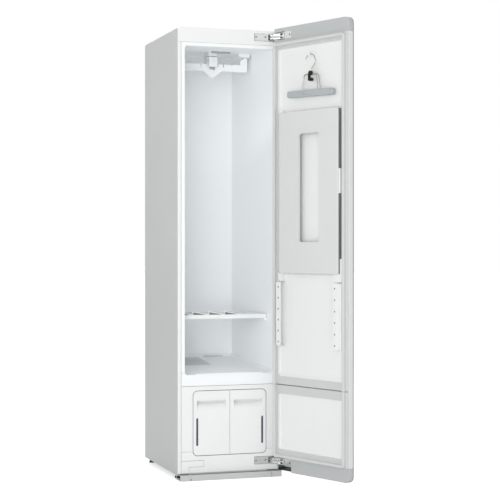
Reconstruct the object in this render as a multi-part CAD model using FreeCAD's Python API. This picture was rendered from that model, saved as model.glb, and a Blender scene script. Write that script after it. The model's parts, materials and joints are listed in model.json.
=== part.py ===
import FreeCAD, Part
import math
import os
from FreeCAD import Vector

# Clothes care steam cabinet, in millimetres, stored with its door open.
# Origin: floor level, middle of the width, on the plane of the cabinet's front panels.
# +X is to the right seen from the front, +Y goes back into the cabinet, +Z is up.

# ---------------------------------------------------------------- driving dimensions
WIDTH = 445.0
DEPTH = 537.0
HEIGHT = 1845.0
HALF = WIDTH / 2
SHEET = 1.2                 # steel panels
SKIN = 2.2                  # moulded front panels
WALL = 2.0                  # moulded inner walls
SEAM = 0.7                  # gap between neighbouring front panels
FLANGE_EDGE = 208.0         # half width where the steel flange meets the moulded front
BAND_BOTTOM = 1785.0        # lower edge of the top front band
APRON_TOP = 436.0           # seam between the cavity liner and the floor tray
APRON_BOTTOM = 382.0
BOTTOM_SEAM = 114.5         # seam between the lower and the bottom front panel
FRONT_BOTTOM = 28.0         # lower edge of the front panels
SIDE_BOTTOM = 20.5
TOP_BEND = 12.0             # outer radius of the long top edges

CAVITY_DEPTH = 470.0
CAVITY_CORNER = 12.0
CAVITY_HALF = (192.5, 158.5)        # half width at the front and at the rear wall
CAVITY_FLOOR = (428.0, 466.0)       # floor height at the front and at the rear wall
CAVITY_CEILING = (1770.0, 1791.0)   # ceiling height at the front and at the rear wall

TANK_HALF = 158.5           # tank opening: half width, lower and upper edge, corner radius
TANK_LOW = 96.5
TANK_HIGH = 363.5
TANK_CORNER = 20.0
TANK_GAP = 2.2              # round both tank fronts
TANK_SEAM = 1.3             # between the two tank fronts
SCOOP_RADIUS = 53.6         # of the tank scoop's floor, tangent to the front
SCOOP_START = 268.0
TANK_BAY_DEPTH = 224.0

HINGE_HEIGHTS = (67.0, 1818.0)      # middle heights of the two hinges
HINGE_SIZE = (107.0, 207.0)         # X range of the fixed hinge bracket
HINGE_HALF_HEIGHT = 15.3
BRACKET_SCREWS = (113.0, 153.5)
PIVOT = (204.5, -38.0)      # vertical door axis
DOOR_ANGLE = 111.4          # stored opening of the door, degrees
LINK_TURN = DOOR_ANGLE / 2  # the link turns half as far, relative to the door
LINK_ARM = 28.0             # distance from the door axis to both link pins
FIXED_PIN_ANGLE = 150.0     # direction of the fixed link pin from the door axis
DOOR_PIN_ANGLE = 170.0      # direction of the door's link pin, door closed
PIN_RADIUS = 3.0
RUNNING_GAP = 0.06

DOOR_FACE = -23.0           # Y of the closed door's inner band face
DOOR_LOW = 28.0
DOOR_HIGH = 1850.0
DOOR_THICK = 25.0
GLASS = 4.0
DOOR_CORNER = 25.0
CAP_HEIGHT = 58.0
LINER_SPLIT = 386.0
RING = 8.0                  # how far the liner's ring stands off the band face
RECESS = -3.0               # level of the recessed inner panels
RECESS_SPAN = (35.0, 421.0)
LINER_GAP = 3.2             # between the upper and the lower liner

BAR_DEPTH = 258.0           # Y of the moving hanger bar
STROKE = 7.0
SHELF_LEVEL = 652.0

FEET = 195.0                # X of the feet
FEET_DEPTHS = (75.0, 512.0)  # Y of the front and of the rear feet
FOOT_HEIGHT = 26.0


# ---------------------------------------------------------------- shape helpers
def box(x0, x1, y0, y1, z0, z1):
    return Part.makeBox(x1 - x0, y1 - y0, z1 - z0, Vector(x0, y0, z0))


def rod(radius, start, end):
    start = Vector(*start)
    direction = Vector(*end) - start
    return Part.makeCylinder(radius, direction.Length, start, direction)


def upright(radius, x, y, z0, z1):
    return rod(radius, (x, y, z0), (x, y, z1))


def ball(radius, centre):
    return Part.makeSphere(radius, Vector(*centre))


def prism(axis, points, start, end):
    """Polygon given in the two other axes, in X, Y, Z order, extruded along axis."""
    place = {
        "x": lambda a, b: Vector(start, a, b),
        "y": lambda a, b: Vector(a, start, b),
        "z": lambda a, b: Vector(a, b, start),
    }[axis]
    corners = [place(a, b) for a, b in points]
    face = Part.Face(Part.makePolygon(corners + corners[:1]))
    way = {"x": Vector(1, 0, 0), "y": Vector(0, 1, 0), "z": Vector(0, 0, 1)}[axis]
    return face.extrude(way * (end - start))


def rounded_wire(x0, x1, z0, z1, radius, y):
    """Rounded rectangle in the plane at y; radius is one value or (left, right)."""
    left, right = radius if isinstance(radius, tuple) else (radius, radius)
    corners = [
        (x0, z0, left, 180, 270),
        (x1, z0, right, 270, 360),
        (x1, z1, right, 0, 90),
        (x0, z1, left, 90, 180),
    ]
    edges = []
    ends = []
    for x, z, size, start, stop in corners:
        cx = x + size if x == x0 else x - size
        cz = z + size if z == z0 else z - size
        turn = [math.radians(a) for a in (start, (start + stop) / 2, stop)]
        arc = [Vector(cx + size * math.cos(a), y, cz + size * math.sin(a)) for a in turn]
        ends.append((arc[0], arc[2]))
        edges.append(Part.Arc(*arc).toShape())
    sides = []
    for index in range(4):
        sides.append(Part.makeLine(ends[index][1], ends[(index + 1) % 4][0]))
    chain = [edge for pair in zip(edges, sides) for edge in pair]
    return Part.Wire(chain)


def plate(x0, x1, z0, z1, radius, y0, y1):
    """Upright plate with rounded corners, from y0 to y1."""
    return Part.Face(rounded_wire(x0, x1, z0, z1, radius, y0)).extrude(Vector(0, y1 - y0, 0))


def capsule(start, end, radius, z0, z1):
    """Flat bar with round ends between two points in plan."""
    dx = end[0] - start[0]
    dy = end[1] - start[1]
    length = math.hypot(dx, dy)
    nx = -dy / length * radius
    ny = dx / length * radius
    outline = [
        (start[0] + nx, start[1] + ny),
        (start[0] - nx, start[1] - ny),
        (end[0] - nx, end[1] - ny),
        (end[0] + nx, end[1] + ny),
    ]
    return fuse(
        prism("z", outline, z0, z1),
        upright(radius, *start, z0, z1),
        upright(radius, *end, z0, z1),
    )


def fuse(*shapes):
    shapes = list(shapes)
    if len(shapes) == 1:
        return shapes[0]
    return shapes[0].multiFuse(shapes[1:]).removeSplitter()


def cut(base, *tools):
    return base.cut(list(tools)).removeSplitter()


def soften(shape, radius, wanted):
    """Round the edges for which wanted(edge) is true."""
    edges = [edge for edge in shape.Edges if wanted(edge)]
    return shape.makeFillet(radius, edges) if edges else shape


def in_plane(axis, value):
    """Edge test: the whole edge lies at one value of an axis."""
    def test(edge):
        bounds = edge.BoundBox
        low, high = {
            "x": (bounds.XMin, bounds.XMax),
            "y": (bounds.YMin, bounds.YMax),
            "z": (bounds.ZMin, bounds.ZMax),
        }[axis]
        return abs(low - value) < 0.01 and abs(high - value) < 0.01
    return test


def along(axis):
    """Edge test: a straight edge parallel to an axis."""
    def test(edge):
        bounds = edge.BoundBox
        sizes = {"x": bounds.XLength, "y": bounds.YLength, "z": bounds.ZLength}
        own = sizes.pop(axis)
        return own > 0.1 and max(sizes.values()) < 0.01
    return test


def mirrored(shape):
    return shape.mirror(Vector(0, 0, 0), Vector(1, 0, 0))


def pipe(radius, points):
    """Round pipe through points, with a ball at each bend."""
    runs = [rod(radius, a, b) for a, b in zip(points, points[1:])]
    bends = [ball(radius, p) for p in points[1:-1]]
    return fuse(*runs, *bends)


def screw(point, axis, length=6.0):
    """Pan head screw; axis points from the head into the panel."""
    way = Vector(*axis)
    place = Vector(*point)
    head = Part.makeCylinder(3.6, 2.0, place - way * 2.0, way)
    shank = Part.makeCylinder(1.6, length, place, way)
    cross = [
        Part.makeBox(4.4, 4.4, 4.4, place - way * 2.0 - Vector(2.2, 2.2, 2.2)).common(blade)
        for blade in cross_blades(place - way * 2.0, way)
    ]
    return fuse(head, shank).cut(cross)


def cross_blades(centre, way):
    """Two thin blades, 1.2 deep, that cut the cross of a screw head."""
    sizes = [(4.2, 0.8), (0.8, 4.2)]
    blades = []
    for wide, tall in sizes:
        if abs(way.y) > 0.5:
            size = Vector(wide, 2.4, tall)
        elif abs(way.x) > 0.5:
            size = Vector(2.4, wide, tall)
        else:
            size = Vector(wide, tall, 2.4)
        blades.append(Part.makeBox(size.x, size.y, size.z, centre - size * 0.5))
    return blades


def screw_hole(point, axis, length=8.0):
    way = Vector(*axis)
    return Part.makeCylinder(1.75, length, Vector(*point) - way * 1.0, way)


# ---------------------------------------------------------------- cavity geometry
def between(pair, depth):
    return pair[0] + (pair[1] - pair[0]) * depth / CAVITY_DEPTH


def floor_at(depth):
    return between(CAVITY_FLOOR, depth)


def ceiling_at(depth):
    return between(CAVITY_CEILING, depth)


def wall_at(depth):
    return between(CAVITY_HALF, depth)


def cavity_block(start, end, growth):
    """The cavity's tapered space, grown outward on all sides."""
    sections = []
    for depth in (start, end):
        half = wall_at(depth) + growth
        low = floor_at(depth) - growth
        high = ceiling_at(depth) + growth
        sections.append(rounded_wire(-half, half, low, high, CAVITY_CORNER + growth, depth))
    return Part.makeLoft(sections, True, True)


def below_floor(rise):
    """Everything under a plane parallel to the cavity floor, rise above it."""
    front = -20.0
    rear = DEPTH + 20.0
    outline = [(front, 0), (rear, 0), (rear, floor_at(rear) + rise), (front, floor_at(front) + rise)]
    return prism("x", outline, -HALF, HALF)


def below_ceiling(drop):
    """Everything under a plane parallel to the cavity ceiling, drop below it."""
    rear = DEPTH
    outline = [(0, 900), (rear, 900), (rear, ceiling_at(rear) - drop), (0, ceiling_at(0) - drop)]
    return prism("x", outline, -HALF, HALF)


# ---------------------------------------------------------------- cabinet shell
REAR_SCREW_HEIGHTS = (90.0, 420.0, 900.0, 1380.0, 1780.0)
REAR_SCREW_X = 213.5


def rear_screw_places():
    return [(side * REAR_SCREW_X, DEPTH, z) for side in (-1, 1) for z in REAR_SCREW_HEIGHTS]


def side_panel():
    """Right side panel: one folded sheet with front, rear and top flanges."""
    outer = HALF
    inner = HALF - SHEET
    top = HEIGHT
    bend = TOP_BEND
    lip = HALF - bend - 14.0
    outer_block = fuse(
        box(outer - bend, outer, 0, DEPTH, SIDE_BOTTOM, top - bend),
        box(lip, outer - bend, 0, DEPTH, top - bend, top),
        rod(bend, (outer - bend, 0, top - bend), (outer - bend, DEPTH, top - bend)),
    )
    inner_block = fuse(
        box(lip - 1, inner, -1, DEPTH + 1, SIDE_BOTTOM - 1, top - bend),
        box(lip - 1, outer - bend, -1, DEPTH + 1, top - bend - 1, top - SHEET),
        rod(bend - SHEET, (outer - bend, -1, top - bend), (outer - bend, DEPTH + 1, top - bend)),
    )
    sheet = outer_block.cut(inner_block)
    front = box(FLANGE_EDGE + SEAM, inner + 0.1, 0, SHEET, FRONT_BOTTOM, BAND_BOTTOM - SEAM)
    rear = box(205.0, inner + 0.1, DEPTH - SHEET, DEPTH, 24.0, top - bend)
    sheet = fuse(sheet, front, rear)
    notch = box(150, outer + 1, -1, SKIN + SEAM, BAND_BOTTOM - SEAM, top + 1)
    holes = [screw_hole(place, (0, -1, 0)) for place in rear_screw_places()]
    return cut(sheet, notch, *holes)


def top_cover():
    half = HALF - TOP_BEND - 14.0 - SEAM
    raised = box(-half, half, SKIN + SEAM, DEPTH, HEIGHT - SHEET, HEIGHT)
    lower = box(-half - 12, half + 12, SKIN + SEAM, DEPTH, HEIGHT - 2 * SHEET - 0.2, HEIGHT - SHEET - 0.2)
    edge = box(-half, half, SKIN + SEAM, SKIN + SEAM + SHEET, HEIGHT - 10, HEIGHT - SHEET)
    seat = box(-half, half, SKIN + SEAM, DEPTH, HEIGHT - SHEET - 0.3, HEIGHT - SHEET)
    return fuse(raised, lower, seat, edge)


VENT_ROWS = 9
VENT_PITCH = 22.0


def back_panel():
    """Rear sheet between the side flanges, with rows of vents and the inlet's cut-out."""
    rear = DEPTH - SHEET
    sheet = box(-HALF + 1.6, HALF - 1.6, rear - SHEET, rear, 32.0, HEIGHT - TOP_BEND - 2)
    raised = box(-200.0, 200.0, rear - 0.2, rear + SHEET, 44.0, HEIGHT - 20.0)
    raised = raised.cut(box(-198.8, 198.8, rear - 1, rear, 45.2, HEIGHT - 21.2))
    vents = []
    for row in range(VENT_ROWS):
        z = 130.0 + row * VENT_PITCH
        for middle in (-110.0, 0.0, 110.0):
            vents.append(plate(middle - 40, middle + 40, z, z + 6, 2.9, rear - 5, rear + 5))
    hollow = box(-198.8, 198.8, rear - SHEET - 1, rear, 45.2, HEIGHT - 21.2)
    holes = [screw_hole(place, (0, -1, 0)) for place in rear_screw_places()]
    inlet = box(120.2, 169.8, rear - 5, rear + 5, 62.2, 91.8)
    return cut(fuse(sheet, raised), hollow, inlet, *vents, *holes)


def base_pan():
    """Folded steel tray that carries the machine compartment."""
    low = FOOT_HEIGHT
    outer = box(-HALF + 1.6, HALF - 1.6, 3, DEPTH - 3, low, low + 22)
    inner = box(-HALF + 3.1, HALF - 3.1, 4.5, DEPTH - 4.5, low + 1.6, low + 30)
    places = [(x, y) for x in (-FEET, FEET) for y in FEET_DEPTHS]
    bosses = [upright(9, x, y, low, low + 8) for x, y in places]
    holes = [upright(5.3, x, y, low - 5, low + 20) for x, y in places]
    beads = [box(-150, 150, y, y + 12, low + 1.0, low + 4) for y in (120.0, 200.0, 365.0)]
    return cut(fuse(outer.cut(inner), *bosses, *beads), *holes)


def foot(x, y, radius):
    disc = soften(upright(radius, x, y, 0, 9), 2.5, in_plane("z", 9))
    collar = prism("z", hexagon(x, y, 9.0), 9, 16)
    return fuse(disc, collar, upright(5, x, y, 16, FOOT_HEIGHT + 12))


def hexagon(x, y, radius):
    turns = [math.radians(60 * index) for index in range(6)]
    return [(x + radius * math.cos(a), y + radius * math.sin(a)) for a in turns]


def insulation_boards():
    low = 474.0
    high = 1780.0
    side = box(HALF - 16, HALF - 3, 34, 500, low, high)
    rear = box(-200, 200, 502, 530, low, high)
    top = box(-190, 190, 60, 500, 1802, 1832).cut(box(-48, 48, 200, 316, 1800, 1840))
    return [side, mirrored(side), rear, top]


# ---------------------------------------------------------------- front panels
def hinge_opening(z):
    x0, x1 = HINGE_SIZE
    return box(x0 - SEAM, x1 + SEAM, -5, 5, z - HINGE_HALF_HEIGHT - SEAM, z + HINGE_HALF_HEIGHT + SEAM)


def top_front_panel():
    band = plate(-HALF, HALF, BAND_BOTTOM, HEIGHT, TOP_BEND, 0, SKIN)
    square = box(-HALF, HALF, 0, SKIN, BAND_BOTTOM, BAND_BOTTOM + 2 * TOP_BEND)
    panel = fuse(band, square)
    ribs = [box(-HALF + 8, 90, SKIN - 0.1, 12, z, z + 1.5) for z in (1790.0, 1812.0)]
    return cut(fuse(panel, *ribs), hinge_opening(HINGE_HEIGHTS[1]))


def tank_opening(growth, y0, y1):
    return plate(
        -TANK_HALF - growth, TANK_HALF + growth, TANK_LOW - growth, TANK_HIGH + growth,
        TANK_CORNER + growth, y0, y1,
    )


def lower_front_panel():
    edge = FLANGE_EDGE - SEAM
    panel = box(-edge, edge, 0, SKIN, BOTTOM_SEAM + SEAM, APRON_BOTTOM - SEAM)
    return cut(panel, tank_opening(0, -5, 5))


def blank_cover_outline(growth):
    """Stepped cover over the unused hinge place at the lower left."""
    edge = -FLANGE_EDGE + SEAM
    upper = box(edge - 5, -112 + growth, -5, 5, 53 - growth, 77.5 + growth)
    lower = box(edge - 5, -175 + growth, -5, 5, FRONT_BOTTOM - 5, 54)
    return fuse(upper, lower)


def front_slab(low, high):
    edge = FLANGE_EDGE - SEAM
    return box(-edge, edge, 0, SKIN, low, high)


def bottom_front_panel():
    slab = front_slab(FRONT_BOTTOM, BOTTOM_SEAM)
    corner = box(200, FLANGE_EDGE + 5, -5, 5, HINGE_HEIGHTS[0] - 15.7, HINGE_HEIGHTS[0] + 15.7)
    return cut(
        slab, tank_opening(0, -5, 5), hinge_opening(HINGE_HEIGHTS[0]), corner, blank_cover_outline(1.0)
    )


def blank_hinge_cover():
    return front_slab(FRONT_BOTTOM, BOTTOM_SEAM).common(blank_cover_outline(0))


def kick_plate():
    """Plinth: a C-shaped front trim between two end blocks."""
    front = -27.0
    top = 25.5
    seam = 173.0
    gap = 1.0
    half = seam - gap
    wall = 2.0
    trim = box(-half, half, front, 14, 0, top)
    trim = soften(trim, 3.0, lambda e: in_plane("y", front)(e) and in_plane("z", top)(e))
    trim = cut(
        trim,
        box(-half - 1, half + 1, front + wall, 20, wall, top - wall),
        box(-half - 1, half + 1, -1.0, 20, top - wall - 1, top + 1),
    )
    block = box(seam + gap, 217.5, front, 40, 0, top)
    block = soften(block, 3.0, lambda e: in_plane("y", front)(e) and not in_plane("z", 0)(e))
    room = box(seam + 3, 215.0, front + 2.5, 45, 2.5, top - 2.5)
    window = box(210, 220, front + 6, 37, 5, top - 5)
    block = cut(block, room, window)
    return [trim, block, mirrored(block)]


# ---------------------------------------------------------------- cavity
def shelf_ledge():
    start = 80.0
    end = 330.0
    outline = [
        (wall_at(start) + 0.5, start),
        (wall_at(end) + 0.5, end),
        (wall_at(end) - 9, end),
        (wall_at(start) - 9, start),
    ]
    return prism("z", outline, SHELF_LEVEL - 11, SHELF_LEVEL - 0.3)


def cavity_liner():
    """Side walls, ceiling and rear wall in one moulding with the front flange."""
    edge = FLANGE_EDGE - SEAM
    flange = box(-edge, edge, 0, SKIN, APRON_TOP, BAND_BOTTOM - SEAM)
    shell = fuse(cavity_block(0, CAVITY_DEPTH + WALL, WALL), flange)
    shell = shell.cut(cavity_block(-5, CAVITY_DEPTH, 0))
    shell = shell.cut(below_floor(8.0))
    ledge = shelf_ledge()
    lamp_hole = upright(4, LAMP_MIDDLE, 206, 1760, 1810)
    shaft_hole = upright(6, 0, BAR_DEPTH, 1760, 1810)
    corner_seam = box(-edge - 1, -wall_at(0) + 5, -1, 0.9, 1756.4, 1757.4)
    return cut(fuse(shell, ledge, mirrored(ledge)), lamp_hole, shaft_hole, corner_seam)


FILTER_OPENING = (-147.0, -7.0, 236.0, 440.0)
OUTLET_OPENING = (26.0, 108.0, 447.0, 464.0)


def floor_opening(opening, growth, z0, z1, radius):
    """Upright prism with rounded corners over an X and Y range."""
    x0, x1, y0, y1 = opening
    block = box(x0 - growth, x1 + growth, y0 - growth, y1 + growth, z0, z1)
    return soften(block, radius + growth, along("z"))


def cavity_floor():
    """Sloping floor tray with side upstands, front apron and a raised lip."""
    edge = FLANGE_EDGE - SEAM
    tray = cavity_block(0, CAVITY_DEPTH + WALL, WALL).common(below_floor(8.0 - SEAM))
    apron = box(-edge, edge, 0, SKIN, APRON_BOTTOM + SEAM, APRON_TOP - SEAM)
    tray = fuse(tray, apron).cut(cavity_block(-5, CAVITY_DEPTH, 0))
    lip = box(-146, 146, 5, 17, CAVITY_FLOOR[0] - 1, CAVITY_FLOOR[0] + 4.5)
    lip = soften(lip, 5.0, along("z"))
    lip = soften(lip, 3.0, in_plane("z", CAVITY_FLOOR[0] + 4.5))
    line = box(-wall_at(0), wall_at(0), -1, 0.7, CAVITY_FLOOR[0] - 6.5, CAVITY_FLOOR[0] - 5.5)
    filter_hole = floor_opening(FILTER_OPENING, 0.6, 400, 500, 14)
    outlet_hole = floor_opening(OUTLET_OPENING, 0.3, 400, 500, 4)
    return cut(fuse(tray, lip), line, filter_hole, outlet_hole)


def steam_nozzle():
    """Frame with vanes over the steam and air outlet at the rear of the floor."""
    x0, x1, y0, y1 = OUTLET_OPENING
    rim = floor_opening(OUTLET_OPENING, 4, 440, 480, 4).common(below_floor(2.0)).cut(below_floor(0.02))
    collar = floor_opening(OUTLET_OPENING, 0, 440, 480, 4).common(below_floor(1.0)).cut(below_floor(-6.0))
    mouth = floor_opening(OUTLET_OPENING, -2, 430, 490, 3.5)
    frame = fuse(rim, collar).cut(mouth)
    vanes = []
    for index in range(1, 6):
        x = x0 + (x1 - x0) * index / 6
        vane = box(x - 0.8, x + 0.8, y0 + 1, y1 - 1, 440, 480)
        vanes.append(vane.common(below_floor(0.5)).cut(below_floor(-6.0)))
    return fuse(frame, *vanes)


LAMP_MIDDLE = 25.0


def cavity_lamp():
    """Low lens under the ceiling, with a release tab at its front edge."""
    lens = box(LAMP_MIDDLE - 41, LAMP_MIDDLE + 41, 190, 222, 1760, 1800)
    lens = soften(lens, 12, along("z"))
    lens = lens.common(below_ceiling(0.02)).cut(below_ceiling(5.0))
    tab = upright(7, LAMP_MIDDLE, 191, 1760, 1800)
    tab = tab.common(below_ceiling(0.02)).cut(below_ceiling(8.0))
    return fuse(lens, tab)


# ---------------------------------------------------------------- moving hanger
BAR_HALF = 157.0
BAR_LOW = 1702.0
BAR_HIGH = 1732.0
ARM_TOP = 1762.0
GUIDE_TOP = 1776.0
BAR_THICK = 11.0              # half thickness of the moving bar
YOKE_LOW = 1725.0

HOUSING_HALF = 24.0
HOUSING_LOW = 1718.0
HOUSING_HIGH = 1760.5
HOUSING_REAR = 305.0


def drive_housing():
    """Cover over the crank, open below, on a neck that reaches the ceiling."""
    half = HOUSING_HALF
    wall = 2.5
    front = BAR_DEPTH - 29.0
    outer = soften(box(-half, half, front, HOUSING_REAR, HOUSING_LOW, HOUSING_HIGH), 12, along("z"))
    inner = box(
        -half + wall, half - wall, front + wall, HOUSING_REAR - wall, HOUSING_LOW - 1, HOUSING_HIGH - wall
    )
    slot = box(-half - 1, half + 1, BAR_DEPTH - 14, BAR_DEPTH + 14, HOUSING_LOW - 1, BAR_HIGH + 1.5)
    collar = box(-half + 2, half - 2, front + 2, HOUSING_REAR - 2, HOUSING_HIGH + 3, 1800)
    neck = fuse(upright(13, 0, BAR_DEPTH, HOUSING_HIGH - 1, 1800), soften(collar, 10, along("z")))
    neck = neck.common(below_ceiling(0.02))
    shaft = upright(5, 0, BAR_DEPTH, 1750, 1800)
    return cut(fuse(outer, neck), inner, slot, shaft)


def hanger_motor():
    low = 1797.0
    body = soften(box(-30, 30, BAR_DEPTH - 34, BAR_DEPTH + 34, low, low + 26), 6, along("z"))
    can = upright(20, 0, BAR_DEPTH + 8, low + 26, low + 42)
    return fuse(body, can).cut(upright(4 + RUNNING_GAP, 0, BAR_DEPTH, low - 1, low + 17))


def hanger_crank():
    disc = upright(10, 0, BAR_DEPTH, 1743, 1749)
    pin = upright(2.5, STROKE, BAR_DEPTH, YOKE_LOW + 1.2, 1744)
    shaft = upright(4, 0, BAR_DEPTH, 1748, 1812)
    return fuse(disc, pin, shaft)


def hanger_bar():
    """Flat bar with a V in the middle, hook dips and two suspension arms."""
    right = [
        (0, 1673), (9, 1675.5), (41, BAR_LOW), (BAR_HALF - 4, BAR_LOW), (BAR_HALF, BAR_LOW + 4),
        (BAR_HALF, ARM_TOP), (143, ARM_TOP), (126, ARM_TOP - 13), (126, BAR_HIGH), (94, BAR_HIGH),
        (86, BAR_HIGH - 4), (78, BAR_HIGH), (52.5, BAR_HIGH), (50.8, BAR_HIGH - 14),
        (49.2, BAR_HIGH - 14), (47.5, BAR_HIGH),
        (16, BAR_HIGH), (9, 1707),
    ]
    left = [(-x, z) for x, z in reversed(right) if x > 0]
    profile = prism("y", right + left, BAR_DEPTH - BAR_THICK, BAR_DEPTH + BAR_THICK)
    profile = soften(profile, 1.5, in_plane("y", BAR_DEPTH - BAR_THICK))
    window = box(-16.8, 16.8, BAR_DEPTH - 9.6, BAR_DEPTH + 9.6, YOKE_LOW, BAR_HIGH + 1)
    yoke = box(-20, 20, BAR_DEPTH - 12.5, BAR_DEPTH + 12.5, YOKE_LOW, BAR_HIGH)
    pieces = [cut(fuse(profile, yoke), window)]
    for side in (-1, 1):
        a, b = sorted((side * 144, side * (BAR_HALF - 1)))
        pieces.append(box(a, b, BAR_DEPTH - 4, BAR_DEPTH + 4, ARM_TOP - 0.2, GUIDE_TOP - 5))
        pieces.append(box(a, b, BAR_DEPTH - 7, BAR_DEPTH + 7, GUIDE_TOP - 6, GUIDE_TOP))
    return fuse(*pieces)


def hanger_guides():
    """Ceiling rails that the bar's arms hang in."""
    low = GUIDE_TOP - 10.5
    outline = [(130, low), (169, low), (169, 1800), (118, 1800), (118, low + 8)]
    rail = prism("y", outline, BAR_DEPTH - 12, BAR_DEPTH + 12)
    rail = rail.common(cavity_block(1, CAVITY_DEPTH - 1, -0.02))
    channel = box(100, 180, BAR_DEPTH - 8, BAR_DEPTH + 8, GUIDE_TOP - 6.3, GUIDE_TOP + 1.5)
    slot = box(100, 180, BAR_DEPTH - 4.8, BAR_DEPTH + 4.8, 1750, GUIDE_TOP)
    rail = cut(rail, channel, slot)
    return [rail, mirrored(rail)]


# ---------------------------------------------------------------- shelf
SHELF_RAIL = 17.0               # height of the shelf's front rail
SHELF_HOOD = 12.5               # rise of a hood above that rail
SHELF_PITCH = 69.0
SHELF_FIRST = -136.4            # left side of the first whole hood


def shelf_hood(x0, x1, start, top):
    """Hood behind the front rail: tall at its left, open to the front, and the room in it."""
    crest = top + SHELF_HOOD
    outer = [(x0, top - 1), (x0, crest - 1.5), (x0 + 2.5, crest), (x1, top + 1), (x1, top - 1)]
    room = [
        (x0 + 2.2, top - 14), (x0 + 2.2, crest - 3), (x0 + 4, crest - 2.6),
        (x1 - 6, top - 1), (x1 - 6, top - 14),
    ]
    shell = prism("y", outer, start + 6, start + 52)
    pocket = prism("y", room, start + 11, start + 49)
    mouth = prism("y", room, start, start + 12).common(
        box(x0, x1, start, start + 12, top, crest)
    )
    return shell, fuse(pocket, mouth)


def shelf():
    """Tapered shelf: a front rail, a row of hoods behind it and long slots."""
    front = 70.0
    rear = 340.0
    gap = 2.2
    low = SHELF_LEVEL
    top = low + SHELF_RAIL
    outline = [
        (-wall_at(front) + gap, front), (wall_at(front) - gap, front),
        (wall_at(rear) - gap, rear), (-wall_at(rear) + gap, rear),
    ]
    slab = prism("z", outline, low, top)
    slab = soften(slab, 5.0, lambda edge: along("z")(edge) and edge.BoundBox.YMax < front + 1)
    slab = soften(slab, 1.2, lambda edge: in_plane("y", front)(edge) and not along("z")(edge))
    underside = [
        (-wall_at(front) + 14, front + 62), (wall_at(front) - 14, front + 62),
        (wall_at(rear) - 12, rear - 9), (-wall_at(rear) + 12, rear - 9),
    ]
    slab = slab.cut(prism("z", underside, low - 1, top - 4))
    slots = []
    for index in range(-4, 5):
        x = index * 30.0
        slots.append(prism("z", [
            (x - 3, front + 68), (x + 3, front + 68), (x + 5, rear - 24), (x - 5, rear - 24),
        ], low - 5, top + 5))
    hoods = []
    rooms = []
    for index in range(-1, 3):
        x0 = SHELF_FIRST + index * SHELF_PITCH
        shell, room = shelf_hood(x0, x0 + SHELF_PITCH, front, top)
        hoods.append(shell)
        rooms.append(room)
    slab = cut(fuse(slab, *hoods), *slots, *rooms)
    tray = prism("z", outline, low - 1, top + SHELF_HOOD + 1)
    return slab.common(tray)


# ---------------------------------------------------------------- tanks
def tank_bay():
    outer = tank_opening(WALL + 0.5, SKIN + 0.1, TANK_BAY_DEPTH)
    inner = tank_opening(0.5, 0, TANK_BAY_DEPTH - WALL)
    holes = [rod(9, (x, 200, 130), (x, 240, 130)) for x in (-79, 79)]
    return cut(outer, inner, *holes)


def scoop_block(radius, depth, front, top, x0, x1):
    """Prism over a floor that leaves the tank's front plane in an arc and ends at a depth."""
    def point(turn):
        return Vector(x0, SCOOP_RADIUS - radius * math.cos(turn), SCOOP_START + radius * math.sin(turn))
    last = math.acos((SCOOP_RADIUS - depth) / radius)
    floor = Part.Arc(point(0), point(last / 2), point(last)).toShape()
    rest = Part.makePolygon([
        point(last), Vector(x0, depth, top), Vector(x0, front, top),
        Vector(x0, front, SCOOP_START), point(0),
    ])
    return Part.Face(Part.Wire([floor] + rest.Edges)).extrude(Vector(x1 - x0, 0, 0))


def tank_front():
    """Left tank's front with a hooded finger scoop and a slot for the level window."""
    inset = TANK_GAP
    both = plate(
        -TANK_HALF + inset, TANK_HALF - inset, TANK_LOW + inset, TANK_HIGH - inset,
        TANK_CORNER - inset, 0, 3,
    )
    front = both.cut(box(-TANK_SEAM / 2, HALF, -5, 5, 0, 500))
    front = soften(front, 1.0, in_plane("y", 0))
    x0 = -79.0 - 62.0
    x1 = -79.0 + 62.0
    back = scoop_block(SCOOP_RADIUS - 2.6, 27.0, 1.0, 333.0, x0 - 2, x1 + 2)
    scoop = scoop_block(SCOOP_RADIUS, 24.5, -1.0, 322.0, x0, x1)
    roof = box(x0, x1, 4.5, 24.5, 312, 331)
    slot = plate(-144.3, -135.7, 137.7, 251.3, 4.2, -5, 5)
    return cut(fuse(front, back), scoop, roof, slot)


def tank_body():
    """Left tank's water vessel, with the level window standing in the front's slot."""
    outline = [(3.6, 100), (214, 100), (214, 345), (31, 345), (31, 272), (3.6, 272)]
    hollow = [(5.6, 102), (212, 102), (212, 343), (33, 343), (33, 270), (5.6, 270)]
    outer = plate(-155, 20, 99.5, 362, 17, 0, 220)
    inner = plate(-153, 20, 101.5, 360, 15, 0, 220)
    vessel = prism("x", outline, -154, -3.5).common(outer)
    room = prism("x", hollow, -152, -5.5).common(inner)
    window = plate(-144, -136, 138, 251, 3.95, 0.5, 4)
    neck = upright(22, -79, 140, 344, 352)
    mouth = upright(19, -79, 140, 340, 360)
    port = rod(7, (-79, 205, 130), (-79, 221, 130))
    bore = rod(4, (-79, 205, 130), (-79, 225, 130))
    return cut(fuse(vessel, window, neck, port), room, mouth, bore)


# ---------------------------------------------------------------- machine compartment
def filter_duct():
    """Open-topped well below the lint filter."""
    outer = box(-153, -1, 230, 446, 372, 470)
    inner = box(-151, -3, 232, 444, 374, 480)
    side = box(-10, 5, 246, 430, 376, 420)
    return cut(outer.common(below_floor(-WALL - 0.3)), inner, side)


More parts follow.
